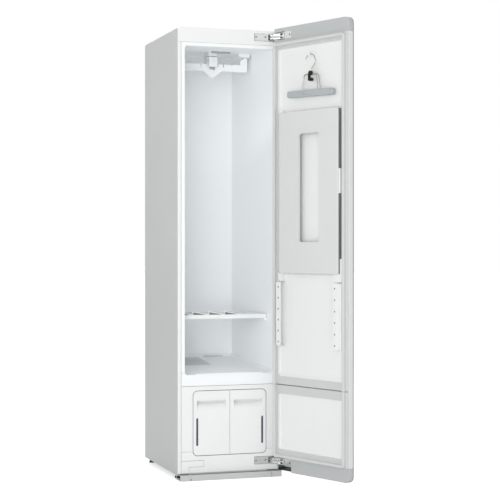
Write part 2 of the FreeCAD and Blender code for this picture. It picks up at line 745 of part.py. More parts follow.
def lint_filter():
    """Lid flush with the cavity floor, with a mesh basket below."""
    lid = floor_opening(FILTER_OPENING, 0, 400, 500, 14)
    lid = lid.common(below_floor(0.4)).cut(below_floor(-3.0))
    x0, x1, y0, y1 = FILTER_OPENING
    basket = box(x0 + 6, x1 - 6, y0 + 8, y1 - 8, 382, 470).common(below_floor(-2.5))
    basket = basket.cut(box(x0 + 7.5, x1 - 7.5, y0 + 9.5, y1 - 9.5, 383.5, 480).common(below_floor(-2.5)))
    windows = []
    for index in range(8):
        y = y0 + 16 + index * 22.0
        windows.append(box(x0 - 5, x1 + 5, y, y + 17, 388, 418))
    grip = box(-95, -59, y1 - 26, y1 - 12, 400, 500).common(below_floor(1)).cut(below_floor(-1.6))
    vents = []
    for index in range(10):
        y = y0 + 18 + index * 15.0
        vents.append(box(x0 + 20, x1 - 20, y, y + 5, 400, 500))
    return cut(fuse(lid, basket), grip, *windows, *vents)


def heat_exchanger():
    """Evaporator and condenser: fins on a pair of end plates with tubes through them."""
    ends = [box(4, 96, y, y + 3, 374, 428) for y in (236.0, 436.0)]
    fins = [box(6, 94, y, y + 0.8, 376, 426) for y in fin_places()]
    tubes = []
    for x in (20.0, 50.0, 80.0):
        for z in (388.0, 414.0):
            tubes.append(rod(4, (x, 238, z), (x, 438, z)))
    return fuse(*ends, *fins, *tubes)


def fin_places():
    return [242.0 + 6.0 * index for index in range(33)]


BLOWER = (160.0, 345.0)


def blower_housing():
    x, y = BLOWER
    outer = fuse(
        upright(52, x, y, 374, 424),
        box(150, 212, 345, 470, 374, 424),
        box(20, 212, 440, 472, 374, 424),
        box(20, 116, 440, 472, 374, 470).common(below_floor(-WALL - 0.3)),
    )
    inner = fuse(
        upright(50, x, y, 376, 422),
        box(152, 210, 345, 468, 376, 422),
        box(22, 210, 442, 470, 376, 422),
        box(22, 114, 442, 470, 376, 480),
    )
    eye = upright(34, x, y, 420, 430)
    shaft = upright(9, x, y, 360, 380)
    return cut(outer, inner, eye, shaft)


def blower_wheel():
    x, y = BLOWER
    ring = upright(44, x, y, 380, 382).fuse(upright(44, x, y, 414, 416).cut(upright(33, x, y, 400, 430)))
    blades = []
    for index in range(24):
        blade = box(x + 34, x + 43, y - 0.7, y + 0.7, 381, 415)
        blade.rotate(Vector(x + 38, y, 0), Vector(0, 0, 1), 35)
        blade.rotate(Vector(x, y, 0), Vector(0, 0, 1), 15 * index)
        blades.append(blade)
    hub = fuse(upright(12, x, y, 381, 396), upright(4, x, y, 352, 390))
    return fuse(ring, hub, *blades)


def blower_motor():
    x, y = BLOWER
    body = soften(upright(32, x, y, 318, 362), 4, in_plane("z", 318))
    boss = upright(8.5, x, y, 361, 373.5)
    plate_ring = upright(40, x, y, 358, 362)
    return fuse(body, boss, plate_ring).cut(upright(4 + RUNNING_GAP, x, y, 350, 400))


def compressor():
    """Rotary compressor, its accumulator and its three-legged foot."""
    x, y = -105.0, 370.0
    can = upright(56, x, y, 46, 292)
    can = soften(can, 22, lambda e: in_plane("z", 46)(e) or in_plane("z", 292)(e))
    bottle = soften(
        upright(24, x + 88, y + 20, 110, 280), 16, lambda e: in_plane("z", 110)(e) or in_plane("z", 280)(e)
    )
    link = rod(5, (x + 40, y + 10, 130), (x + 88, y + 20, 130))
    plate_foot = fuse(
        prism("z", [(x - 78, y - 50), (x + 78, y - 50), (x + 14, y + 84), (x - 14, y + 84)], 44, 48)
    )
    holes = [upright(5, px, py, 40, 52) for px, py in compressor_feet()]
    terminal = box(x - 15, x + 15, y - 68, y - 50, 200, 240)
    return cut(fuse(can, bottle, link, plate_foot, terminal), *holes)


def compressor_feet():
    x, y = -105.0, 370.0
    return [(x - 64, y - 42), (x + 64, y - 42), (x, y + 74)]


def compressor_mounts():
    low = FOOT_HEIGHT + 1.6
    mounts = []
    for px, py in compressor_feet():
        stem = upright(4.8, px, py, 43, 49)
        mounts.append(fuse(upright(10, px, py, low, 43.9), stem, upright(8, px, py, 48.2, 52)))
    return mounts


def steam_generator():
    """Boiler with its clamped lid, inlet and outlet stubs and a bracket."""
    front = 250.0
    rear = front + 90.0
    body = soften(box(40, 170, front, rear, 50, 130), 12, along("z"))
    rim = soften(box(34, 176, front - 6, rear + 6, 128, 134), 14, along("z"))
    lid = soften(box(42, 168, front + 2, rear - 2, 133, 150), 10, along("z"))
    outlet = upright(8, 140, 295, 149, 170)
    inlet = rod(6, (120, front - 8, 90), (120, front + 1, 90))
    legs = [box(x, x + 12, 270, 320, FOOT_HEIGHT + 1.6, 51) for x in (52.0, 146.0)]
    return fuse(body, rim, lid, outlet, inlet, *legs)


def water_pumps():
    pumps = []
    for x in (-79.0, 79.0):
        head = rod(15, (x, 230, 176), (x, 246, 176))
        motor = rod(13, (x, 245, 176), (x, 290, 176))
        drop = box(x - 10, x + 10, 226, 240, 120, 176)
        pumps.append(fuse(head, motor, drop))
    return pumps


def control_box():
    case = soften(box(70, 205, 400, 520, 60, 300), 4, along("z"))
    lid = box(66, 209, 398, 401, 56, 304)
    legs = [box(x, x + 14, 420, 490, FOOT_HEIGHT + 1.6, 61) for x in (80.0, 180.0)]
    return fuse(case, lid, *legs)


def refrigerant_pipes():
    suction = pipe(4.5, [
        (-17, 390, 280.2), (-17, 390, 330), (-17, 300, 345), (20, 230, 350), (20, 230, 388),
        (20, 235.8, 388),
    ])
    discharge = pipe(3.5, [
        (-105, 370, 292.2), (-105, 370, 340), (20, 300, 360), (50, 230, 355), (50, 230, 388),
        (50, 235.8, 388),
    ])
    return [suction, discharge]


def steam_hose():
    return pipe(7, [
        (140, 295, 170.3), (140, 295, 200), (100, 300, 300), (62, 380, 340), (62, 456, 352), (62, 456, 373.6),
    ])


def power_inlet():
    rear = DEPTH
    flange = box(116, 174, rear + 0.1, rear + 2.6, 58, 96)
    body = box(120.5, 169.5, rear - 14, rear + 1, 62.5, 91.5)
    recess = box(124, 166, rear - 10, rear + 5, 66, 88)
    pins = [box(x - 1, x + 1, rear - 12, rear + 1, 74, 80) for x in (134.0, 145.0, 156.0)]
    return fuse(fuse(flange, body).cut(recess), *pins)


def cabinet_screws():
    """Rear panel screws, and the two that hold each hinge bracket."""
    rear = [screw(place, (0, -1, 0)) for place in rear_screw_places()]
    front = []
    for z in HINGE_HEIGHTS:
        for x in BRACKET_SCREWS:
            head = rod(4.6, (x, -3.2, z + 1), (x, -1.52, z + 1))
            front.append(fuse(head, rod(2.1, (x, -1.6, z + 1), (x, 12, z + 1))))
    return rear + front


# ---------------------------------------------------------------- hinges
def polar(centre, radius, angle):
    turn = math.radians(angle)
    return (centre[0] + radius * math.cos(turn), centre[1] + radius * math.sin(turn))


FIXED_PIN = polar(PIVOT, LINK_ARM, FIXED_PIN_ANGLE)
DOOR_PIN = polar(PIVOT, LINK_ARM, DOOR_PIN_ANGLE)
LINK_DIRECTION_CLOSED = 70.0
LINK_LENGTH = 57.0


def hinge_bracket(z):
    """Box in the cabinet with a face plate and two arms that carry the pins."""
    x0, x1 = HINGE_SIZE
    high = HINGE_HALF_HEIGHT
    wall = 1.5
    face = box(x0, x1, -wall, 0.6, z - high, z + high)
    case = box(x0 + 2, x1 - 2, 0, 30, z - 13.5, z + 13.5)
    room = box(x0 + 2 + wall, x1 - 2 - wall, 0.6, 30 - wall, z - 12, z + 12)
    mouth = box(166.5, x1 - 2 - wall, -5, 5, z - 11.5, z + 11.5)
    partition = box(163.5, 165, 0, 30, z - 13.5, z + 13.5)
    shell = fuse(cut(fuse(face, case), room, mouth), partition)
    arms = []
    for low, high_side in ((-9.0, -5.0), (5.0, 9.0)):
        arm = fuse(
            capsule(PIVOT, FIXED_PIN, 5.2, z + low, z + high_side),
            capsule(FIXED_PIN, (173.0, 23.0), 6.0, z + low, z + high_side),
        )
        arms.append(arm)
    anchor = box(167, 179, 22, 29, z - 9, z + 9)
    holes = [upright(PIN_RADIUS + 0.03, *point, z - 12, z + 12) for point in (PIVOT, FIXED_PIN)]
    screws = [rod(2.2, (x, -5, z + 1), (x, 5, z + 1)) for x in BRACKET_SCREWS]
    grooves = [
        box(x0 + 2, 163, -wall - 1, -wall + 0.7, middle - 0.7, middle + 0.7)
        for middle in (z - high + 3, z + high - 3)
    ]
    return cut(fuse(shell, anchor, *arms), *holes, *screws, *grooves)


def hinge_pins():
    places = [(point, z) for z in HINGE_HEIGHTS for point in (PIVOT, FIXED_PIN)]
    return [upright(PIN_RADIUS, *point, z - 9.7, z + 9.7) for point, z in places]


def hinge_cup(z):
    """Cup on the door: two plates, a web to the knuckle, a fixing pad and the link pin."""
    plates = [door_box(2, 104, -20.6, -2.0, z + low, z + low + 3) for low in (-13.0, 10.0)]
    web = door_box(31, 104, -20.6, -17.2, z - 13, z + 13)
    narrow = door_box(18, 34, -20.0, -17.2, z - 4.4, z + 4.4)
    knuckle = upright(5, *PIVOT, z - 4.4, z + 4.4)
    pad = door_box(64, 104, -2.4, -0.2, z - 15.5, z + 15.5)
    rear_wall = door_box(66, 69, -20.6, -1.0, z - 13, z + 13)
    end_wall = door_box(101, 104, -20.6, -1.0, z - 13, z + 13)
    pin = upright(PIN_RADIUS, *DOOR_PIN, z - 13, z + 13)
    bore = upright(PIN_RADIUS + RUNNING_GAP, *PIVOT, z - 9.9, z + 9.9)
    bolt = door_rod(3.4, 95, -6, 2, z)
    return cut(fuse(*plates, web, narrow, knuckle, pad, rear_wall, end_wall, pin), bore, bolt)


def hinge_link(z):
    """Slotted link on the door's pin, drawn for the open door but in door coordinates."""
    direction = LINK_DIRECTION_CLOSED - LINK_TURN
    tail = polar(DOOR_PIN, LINK_LENGTH, direction)
    slot_start = polar(DOOR_PIN, 9.4, direction)
    slot_end = polar(DOOR_PIN, 51.6, direction)
    bar = capsule(DOOR_PIN, tail, 6.0, z - 3, z + 3)
    slot = capsule(slot_start, slot_end, PIN_RADIUS + 0.15, z - 5, z + 5)
    bore = upright(PIN_RADIUS + RUNNING_GAP, *DOOR_PIN, z - 5, z + 5)
    return cut(bar, slot, bore)


# ---------------------------------------------------------------- door
def door_box(s0, s1, o0, o1, z0, z1):
    """Box on the closed door: s from the hinge edge, o inward from the band face."""
    return box(HALF - s1, HALF - s0, DOOR_FACE + o0, DOOR_FACE + o1, z0, z1)


def door_plate(s0, s1, z0, z1, radius, o0, o1):
    return plate(HALF - s1, HALF - s0, z0, z1, radius, DOOR_FACE + o0, DOOR_FACE + o1)


def door_rod(radius, s, o0, o1, z):
    return rod(radius, (HALF - s, DOOR_FACE + o0, z), (HALF - s, DOOR_FACE + o1, z))


def door_pose(shape):
    """Turn a piece from the closed door to the stored, open door."""
    shape = shape.copy()
    shape.rotate(Vector(PIVOT[0], PIVOT[1], 0), Vector(0, 0, 1), DOOR_ANGLE)
    return shape


def door_outline(o0, o1):
    return plate(
        -HALF, HALF, DOOR_LOW, DOOR_HIGH, (DOOR_CORNER, 2.0), DOOR_FACE + o0, DOOR_FACE + o1
    )


def door_glass():
    pane = door_outline(-DOOR_THICK, -DOOR_THICK + GLASS)
    return soften(pane, 1.2, in_plane("y", DOOR_FACE - DOOR_THICK))


def door_frame():
    """Vertical rails joined by a thin sheet behind the glass."""
    back = -DOOR_THICK + GLASS
    low = DOOR_LOW + CAP_HEIGHT
    high = DOOR_HIGH - CAP_HEIGHT
    hinge_rail = door_box(0, 14, back, 0, low, high)
    free_rail = door_box(431, WIDTH, back, 0, low, high)
    hollows = [
        door_box(2, 12, back + 2, -2, low - 1, high + 1),
        door_box(433, WIDTH - 2, back + 2, -2, low - 1, high + 1),
    ]
    sheet = door_box(13, 432, back, back + SHEET, low, high)
    window = door_box(170, 275, back - 1, back + 3, 1240, 1460)
    return cut(fuse(hinge_rail, free_rail, sheet), window, *hollows)


def touch_module():
    back = -DOOR_THICK + GLASS
    board = door_box(172, 273, back + 0.1, back + 7, 1242, 1458)
    rim = door_box(165, 280, back + SHEET + 0.1, back + SHEET + 2, 1235, 1465)
    return fuse(board, rim)


def hinge_pocket(index):
    """Room in an end cap for the hinge; the lower one also opens downward."""
    z = HINGE_HEIGHTS[index]
    low = DOOR_LOW - 1 if index == 0 else z - 16
    return door_box(-1, 105, -DOOR_THICK, 1, low, z + 16)


def door_end_caps():
    back = -DOOR_THICK + GLASS
    caps = []
    for index, (low, high) in enumerate((
        (DOOR_LOW, DOOR_LOW + CAP_HEIGHT), (DOOR_HIGH - CAP_HEIGHT, DOOR_HIGH),
    )):
        block = door_outline(back, 0).common(door_box(-1, WIDTH + 1, back, 0, low + 0.1, high - 0.1))
        block = soften(block, 1.5, in_plane("y", DOOR_FACE))
        hollow = door_box(109, 427, back - 1, -3, low + 4, high - 4)
        caps.append(cut(block, hollow, hinge_pocket(index)))
    return caps


def liner_ring(low, high):
    """Solid ring block with rounded outer edges."""
    block = door_box(3, 441, 0, RING, low, high)
    face = DOOR_FACE + RING
    outer = [HALF - 3, HALF - 441]
    def wanted(edge):
        on_face = in_plane("y", face)(edge)
        return on_face and any(in_plane("x", x)(edge) for x in outer)
    return soften(block, 5.0, wanted)


def door_liner(low, high, panel_low, panel_high):
    """One moulded inner panel: a ring around a recess, hollow behind."""
    ring = liner_ring(low, high)
    s0, s1 = RECESS_SPAN
    pan = door_plate(s0 - 2, s1 + 2, panel_low - 2, panel_high + 2, 12, RECESS - 2, 1)
    recess = door_plate(s0, s1, panel_low, panel_high, 10, RECESS, RING + 1)
    behind = door_box(6, 438, -1, RING - 2.2, low + 3, high - 3)
    behind = behind.cut(door_plate(s0 - 2, s1 + 2, panel_low - 2, panel_high + 2, 12, -5, RING))
    return cut(fuse(ring, pan), behind, recess)


def door_liner_upper():
    """Upper inner panel, with a sloped ledge along the foot of its recess."""
    low = LINER_SPLIT + LINER_GAP / 2
    panel = door_liner(low, DOOR_HIGH - CAP_HEIGHT - 0.3, 420.0, 1760.0)
    x0 = HALF - RECESS_SPAN[1] + 2
    x1 = HALF - RECESS_SPAN[0] - 2
    face = DOOR_FACE + RING
    back = DOOR_FACE + RECESS
    ledge = prism("x", [(back - 0.5, 419), (face - 1.5, 419), (back - 0.5, 436)], x0, x1)
    return fuse(panel, ledge)


def door_liner_lower():
    return door_liner(DOOR_LOW + CAP_HEIGHT + 0.3, LINER_SPLIT - LINER_GAP / 2, 120.5, 349.0)


def door_gasket():
    """Seal round the ring, in an upper and a lower part."""
    top = RING + 14.4
    low = DOOR_LOW + CAP_HEIGHT + 1.5
    outer = door_box(14, 436, RING + 0.05, top, low, 1786)
    outer = soften(outer, 4.0, in_plane("y", DOOR_FACE + top))
    inner = door_box(26, 424, RING - 1, top + 1, low + 8.5, 1774)
    seam = door_box(0, WIDTH, RING - 1, top + 1, LINER_SPLIT - 0.8, LINER_SPLIT + 0.8)
    return cut(outer, inner, seam)


# ---------------------------------------------------------------- trousers press on the door
COVER_SPAN = (56.0, 407.0)
COVER_HEIGHTS = (843.0, 1498.0)
COVER_BACK = 5.0
COVER_FRONT = 24.0
COVER_PIVOT = (60.0, 10.0)      # s and o of the cover's hinge axis
RAIL_SPANS = ((41.5, 69.0), (380.0, 412.5))
RAIL_HEIGHTS = (546.0, 807.0)
RAIL_FRONT = 28.0
FLANGE_FRONT = 19.0             # of the right rail's lower outer edge
RAIL_HOLES = 6
RAIL_PITCH = 44.8


def press_rails():
    """Two perforated side rails with the lugs that carry and catch the cover."""
    low, high = RAIL_HEIGHTS
    pieces = []
    for index, (s0, s1) in enumerate(RAIL_SPANS):
        rail = door_plate(s0, s1, low, high, 4, RECESS, RAIL_FRONT)
        rail = soften(rail, 2.0, in_plane("y", DOOR_FACE + RAIL_FRONT))
        inner = (s0 + 2, s1 + 1) if index == 0 else (s0 - 1, s1 - 2)
        hollow = door_box(*inner, RECESS - 1, RAIL_FRONT - 2.4, low + 2, high - 2)
        s_hole = s1 - 12 if index == 0 else s0 + 12
        heights = [high - 20 - step * RAIL_PITCH for step in range(RAIL_HOLES)]
        holes = [door_rod(2.4, s_hole, RECESS, RAIL_FRONT + 1, z) for z in heights]
        pieces.append(cut(rail, hollow, *holes))
    flange = door_plate(405, 420, low, high, 4, RECESS, FLANGE_FRONT)
    flange = flange.cut(door_box(400, 411, RECESS - 1, 20, low - 1, high + 1))
    pieces[1] = fuse(pieces[1], flange)
    axis_x = HALF - COVER_PIVOT[0]
    axis_y = DOOR_FACE + COVER_PIVOT[1]
    left = fuse(
        door_box(43, 67, RECESS, 16, 812, 842.5),
        upright(2.5, axis_x, axis_y, 842, 856),
    )
    upper = fuse(
        door_box(48, 67, RECESS, 16, 1498.6, 1510),
        upright(2.5, axis_x, axis_y, 1486, 1499),
    )
    right = fuse(
        door_box(371, 420, RECESS, 14, 812, 842.5),
        door_box(409, 420, RECESS, 16, 842, 903),
    )
    return pieces + [left, upper, right]


def press_cover():
    """Hollow press cover with a window, bored for its two pivot pins."""
    s0, s1 = COVER_SPAN
    low, high = COVER_HEIGHTS
    block = door_plate(s0, s1, low, high, 10, COVER_BACK, COVER_FRONT)
    block = soften(block, 3.0, in_plane("y", DOOR_FACE + COVER_FRONT))
    inner = door_plate(s0 + 18, s1 - 12, low + 20, high - 20, 8, COVER_BACK - 1, COVER_FRONT - 3)
    collar = door_plate(174, 303, 966, 1409, 14, COVER_FRONT - 8, COVER_FRONT - 2.5)
    window = door_plate(178, 299, 970, 1405, 10, COVER_BACK - 5, COVER_FRONT + 5)
    rim = door_plate(174, 303, 966, 1409, 14, COVER_FRONT - 0.5, COVER_FRONT + 1.5)
    axis_x = HALF - COVER_PIVOT[0]
    axis_y = DOOR_FACE + COVER_PIVOT[1]
    bores = [
        upright(2.5 + RUNNING_GAP, axis_x, axis_y, low - 1, low + 14),
        upright(2.5 + RUNNING_GAP, axis_x, axis_y, high - 13, high + 1),
    ]
    latch_room = door_box(400.5, 408, 7.4, 20.6, 1159.4, 1258.6)
    step = door_box(405.8, 408, COVER_BACK - 1, 13.5, low + 12, high - 12)
    return cut(fuse(block.cut(inner), collar, rim), window, latch_room, step, *bores)


def press_latch():
    grip = door_box(404.5, 412, 8, 20, 1160, 1258)
    return soften(grip, 2.5, in_plane("x", HALF - 412))


def door_hook():
    base = door_box(HANGER_S - 15, HANGER_S + 15, RECESS + 0.05, 0, 1690, 1734)
    base = soften(base, 6, along("y"))
    arm = door_rod(4.0, HANGER_S, -1, 24, HOOK_AXIS)
    bend = (HALF - HANGER_S, DOOR_FACE + 23.5, HOOK_AXIS)
    top = (HALF - HANGER_S, DOOR_FACE + 27, HOOK_AXIS + 9)
    return fuse(base, arm, ball(4.0, bend), rod(4.0, bend, top), ball(4.0, top))


# ---------------------------------------------------------------- trousers hanger
HANGER_S = 239.0            # s of the hanging point and of the hanger's centre of mass
HOOK_AXIS = 1715.0          # height of the peg's axis
HANG_POINT = HOOK_AXIS + 5.1
HANGER_TILT = 1.1           # stored lean, free-edge end lower
WIRE = 1.6
REAR_WIRE = 12.0            # o of the rear wire
JAW_WIRE = 19.0             # o of the jaw's wire
JAW_AXIS_Z = 1640.0
HOOK_BEND = (28.0, 7.0)     # radius of the hook, and how far its centre is to the hinge side
BAR_MIDDLE = 1565.0
LEAN_SHIFT = (HANG_POINT - BAR_MIDDLE) * math.tan(math.radians(HANGER_TILT))


def hanger_point(u, o, z):
    """Point of the upright hanger: u to the free edge from its centre line."""
    return (HALF - (HANGER_S + LEAN_SHIFT + u), DOOR_FACE + o, z)


def hanger_box(u0, u1, o0, o1, z0, z1):
    s = HANGER_S + LEAN_SHIFT
    return door_box(s + u0, s + u1, o0, o1, z0, z1)


def hang(shape):
    """Lean the hanger about its hanging point, then open the door."""
    shape = shape.copy()
    pivot = Vector(HALF - HANGER_S, 0, HANG_POINT)
    shape.rotate(pivot, Vector(0, 1, 0), -HANGER_TILT)
    return door_pose(shape)


def bail(o, half_top, half_low, low):
    return pipe(WIRE, [
        hanger_point(-half_low, o, low),
        hanger_point(-half_top, o, JAW_AXIS_Z),
        hanger_point(half_top, o, JAW_AXIS_Z),
        hanger_point(half_low, o, low),
    ])


def trouser_hanger():
    """Wire hook, stem and rear bail."""
    radius, aside = HOOK_BEND
    middle = HANG_POINT + WIRE - math.sqrt(radius ** 2 - aside ** 2)
    start, stop, steps = 190.0, -50.0, 20
    points = []
    for index in range(steps + 1):
        turn = math.radians(start + (stop - start) * index / steps)
        u = radius * math.cos(turn) - aside
        points.append(hanger_point(u, REAR_WIRE, middle + radius * math.sin(turn)))
    points.append(hanger_point(0, REAR_WIRE, 1662))
    points.append(hanger_point(0, REAR_WIRE, JAW_AXIS_Z))
    return fuse(pipe(WIRE, points), bail(REAR_WIRE, 40, 54, BAR_MIDDLE + 12))


CLAMP_HALF = 135.0
CLAMP_HALF_HEIGHT = 13.0


def clamp_profile(o0, o1):
    block = hanger_box(
        -CLAMP_HALF, CLAMP_HALF, o0, o1, BAR_MIDDLE - CLAMP_HALF_HEIGHT, BAR_MIDDLE + CLAMP_HALF_HEIGHT
    )
    return soften(block, 8.0, along("y"))


def clamp_bar():
    block = clamp_profile(8.6, 15.4)
    sockets = [
        hanger_box(u - 2.2, u + 2.2, REAR_WIRE - 1.9, REAR_WIRE + 1.9, BAR_MIDDLE + 11.4, BAR_MIDDLE + 15)
        for u in (-54.0, 54.0)
    ]
    return cut(block, *sockets)


def clamp_jaw():
    """Front clamp bar with its own bail, which turns in the clip."""
    block = soften(clamp_profile(15.8, 23.4), 1.5, in_plane("y", DOOR_FACE + 23.4))
    label = hanger_box(-44, 20, 23.2, 23.6, BAR_MIDDLE - 7, BAR_MIDDLE + 7)
    groove = hanger_box(117, 118.4, 22.4, 24, BAR_MIDDLE - 14, BAR_MIDDLE + 14)
    return fuse(cut(block, groove), label, bail(JAW_WIRE, 34, 46, BAR_MIDDLE + 12))


def hanger_clip():
    """S-shaped clip on the rear wire, bored for the jaw's wire."""
    back, face = 13.8, 23.0
    def lobe(u, z, radius):
        return rod(radius, hanger_point(u, back, z), hanger_point(u, face, z))
    body = fuse(
        lobe(2, 1646, 8.5), lobe(-2, 1620, 7), lobe(8, 1619, 7),
        hanger_box(-2, 8, back, face, 1613, 1626),
        hanger_box(-9, -2, back, face, 1620, 1646),
        hanger_box(-9, 10, back, face, JAW_AXIS_Z - 3.6, JAW_AXIS_Z + 3.6),
    )
    ends = [hanger_point(u, JAW_WIRE, JAW_AXIS_Z) for u in (-30, 30)]
    return body.cut(rod(WIRE + RUNNING_GAP, *ends))


# ---------------------------------------------------------------- all pieces
def cabinet_pieces():
    right = side_panel()
    return {
        "side_panel_right": right,
        "side_panel_left": mirrored(right),
        "top_cover": top_cover(),
        "back_panel": back_panel(),
        "base_pan": base_pan(),
        "insulation_boards": insulation_boards(),
        "top_front_panel": top_front_panel(),
        "lower_front_panel": lower_front_panel(),
        "bottom_front_panel": bottom_front_panel(),
        "blank_hinge_cover": blank_hinge_cover(),
        "kick_plate": kick_plate(),
        "cavity_liner": cavity_liner(),
        "cavity_floor": cavity_floor(),
        "steam_nozzle": steam_nozzle(),
        "cavity_lamp": cavity_lamp(),
        "tank_bay": tank_bay(),
        "levelling_foot_left": foot(-FEET, FEET_DEPTHS[0], 18),
        "levelling_foot_right": foot(FEET, FEET_DEPTHS[0], 18),
        "rear_feet": [foot(x, FEET_DEPTHS[1], 14) for x in (-FEET, FEET)],
        "cabinet_screws": cabinet_screws(),
        "power_inlet": power_inlet(),
    }


def machine_pieces():
    return {
        "drive_housing": drive_housing(),
        "hanger_motor": hanger_motor(),
        "hanger_crank": hanger_crank(),
        "hanger_bar": hanger_bar(),
        "hanger_guides": hanger_guides(),
        "shelf": shelf(),
        "filter_duct": filter_duct(),
        "lint_filter": lint_filter(),
        "heat_exchanger": heat_exchanger(),
        "blower_housing": blower_housing(),
        "blower_wheel": blower_wheel(),
        "blower_motor": blower_motor(),
        "compressor": [compressor(), *compressor_mounts()],
        "steam_generator": steam_generator(),
        "water_pumps": water_pumps(),
        "control_box": control_box(),
        "pipework": [*refrigerant_pipes(), steam_hose()],
    }


def tank_pieces():
    front = tank_front()
    body = tank_body()
    return {
        "supply_tank_front": front,
        "supply_tank_body": body,
        "drain_tank_front": mirrored(front),
        "drain_tank_body": mirrored(body),
    }


def hinge_pieces():
    return {
        "hinge_brackets": [hinge_bracket(z) for z in HINGE_HEIGHTS] + hinge_pins(),
        "hinge_cups": [door_pose(hinge_cup(z)) for z in HINGE_HEIGHTS],
        "hinge_links": [door_pose(hinge_link(z)) for z in HINGE_HEIGHTS],
    }


def door_pieces():
    pieces = {
        "door_glass": door_glass(),
        "door_frame": door_frame(),
        "touch_module": touch_module(),
        "door_liner_upper": door_liner_upper(),
        "door_liner_lower": door_liner_lower(),
        "door_gasket": door_gasket(),
        "press_cover": press_cover(),
        "press_latch": press_latch(),
        "door_hook": door_hook(),
    }
    posed = {name: door_pose(shape) for name, shape in pieces.items()}
    posed["door_end_caps"] = [door_pose(cap) for cap in door_end_caps()]
    posed["press_rails"] = [door_pose(rail) for rail in press_rails()]
    return posed


def hanger_pieces():
    pieces = {
        "trouser_hanger": trouser_hanger(),
        "clamp_bar": clamp_bar(),
        "clamp_jaw": clamp_jaw(),
        "hanger_clip": hanger_clip(),
    }
    return {name: hang(shape) for name, shape in pieces.items()}


def write(name, shape):
    solids = shape if isinstance(shape, list) else [shape]
    solids = [solid for item in solids for solid in item.Solids]
    good = all(solid.isValid() for solid in solids)
    volume = sum(solid.Volume for solid in solids) / 1000
    note = "" if good else "  NOT VALID"
    print(f"{name}: {len(solids)} solids, {volume:.1f} cm3{note}")
    result = solids[0] if len(solids) == 1 else Part.makeCompound(solids)
    result.exportStep(f"parts/{name}.step")


def main():
    os.makedirs("parts", exist_ok=True)
    groups = (cabinet_pieces, machine_pieces, tank_pieces, hinge_pieces, door_pieces, hanger_pieces)
    for group in groups:
        for name, shape in group().items():
            write(name, shape)


main()
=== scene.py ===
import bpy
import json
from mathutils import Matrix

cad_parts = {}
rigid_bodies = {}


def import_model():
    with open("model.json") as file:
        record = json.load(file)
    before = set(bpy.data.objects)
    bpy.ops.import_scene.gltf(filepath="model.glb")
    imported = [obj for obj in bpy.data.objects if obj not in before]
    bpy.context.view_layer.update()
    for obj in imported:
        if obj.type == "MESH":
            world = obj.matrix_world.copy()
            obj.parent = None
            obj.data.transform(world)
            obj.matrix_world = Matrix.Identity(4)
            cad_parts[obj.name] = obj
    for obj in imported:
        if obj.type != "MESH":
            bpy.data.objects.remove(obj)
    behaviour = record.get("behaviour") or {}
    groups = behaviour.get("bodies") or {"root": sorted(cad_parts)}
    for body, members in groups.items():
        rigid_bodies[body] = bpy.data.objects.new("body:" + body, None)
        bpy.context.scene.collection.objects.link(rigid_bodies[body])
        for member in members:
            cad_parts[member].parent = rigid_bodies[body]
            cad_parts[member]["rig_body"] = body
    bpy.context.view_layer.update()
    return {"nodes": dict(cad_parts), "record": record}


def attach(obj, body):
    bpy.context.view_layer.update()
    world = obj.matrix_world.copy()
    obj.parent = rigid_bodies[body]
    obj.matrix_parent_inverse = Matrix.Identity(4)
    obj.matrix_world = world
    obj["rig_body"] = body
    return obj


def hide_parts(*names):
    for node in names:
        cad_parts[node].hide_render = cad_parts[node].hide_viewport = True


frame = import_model()

import json
import math

import bmesh
import bpy
from mathutils import Euler, Vector

bl_info = {
    "name": "Clothes Care Steam Cabinet",
    "version": (1, 0, 0),
    "blender": (4, 5, 0),
    "location": "View3D > Sidebar > Cabinet",
    "description": "Dresses the steam cabinet's frame with finishes, seals, hangers and fittings",
    "category": "Object",
}

# Sizes and places are written in millimetres and turned to metres where points are made.
# The stage alone is in metres.
MM = 0.001

# ------------------------------------------------------------------ places on the cabinet
HALF_WIDTH = 222.5
REAR_FACE = 537.0
DOOR_AXIS = (204.5, -38.0)
DOOR_ANGLE = math.radians(111.4)
DOOR_FACE = -23.0
SEAL_SEAM = 386.0
# The recess of the door's inner panels: the s of its two sides, and how high its rim stands.
RECESS_SIDES = (34.5, 421.5)
RECESS_RIM = 5.5
# The trousers hanger: the door peg that it hangs on, its heights, how far its two wires stand
# off the door, and the slight lean that it hangs with.
HANG_S = 239.0
HANG_HEIGHT = 1720.1
JAW_AXIS = 1640.0
BAR_MIDDLE = 1565.0
HOOK_OFF = 12.0
JAW_OFF = 19.0
HANGER_LEAN = math.radians(1.1)
LEAN_SHIFT = (HANG_HEIGHT - BAR_MIDDLE) * math.tan(HANGER_LEAN)


def cabinet_point(x, y, z):
    return Vector((x, y, z)) * MM


def door_point(s, o, z):
    """s runs from the hinge edge to the free edge, o stands off the door's inner band face."""
    dx = HALF_WIDTH - s - DOOR_AXIS[0]
    dy = DOOR_FACE + o - DOOR_AXIS[1]
    c, n = math.cos(DOOR_ANGLE), math.sin(DOOR_ANGLE)
    return Vector((DOOR_AXIS[0] + dx * c - dy * n, DOOR_AXIS[1] + dx * n + dy * c, z)) * MM


def door_coordinates(point):
    """The s, o and z of a point of the opened door."""
    dx = point.x / MM - DOOR_AXIS[0]
    dy = point.y / MM - DOOR_AXIS[1]
    c, n = math.cos(DOOR_ANGLE), math.sin(DOOR_ANGLE)
    return (
        HALF_WIDTH - DOOR_AXIS[0] - dx * c - dy * n,
        DOOR_AXIS[1] - dx * n + dy * c - DOOR_FACE,
        point.z / MM,
    )


def hanger_point(u, o, z):
    """u runs along the trousers hanger to the free edge, which hangs with a slight lean."""
    dx = -(LEAN_SHIFT + u)
    dz = z - HANG_HEIGHT
    c, n = math.cos(HANGER_LEAN), math.sin(HANGER_LEAN)
    return door_point(HANG_S - (dx * c - dz * n), o, HANG_HEIGHT + dx * n + dz * c)


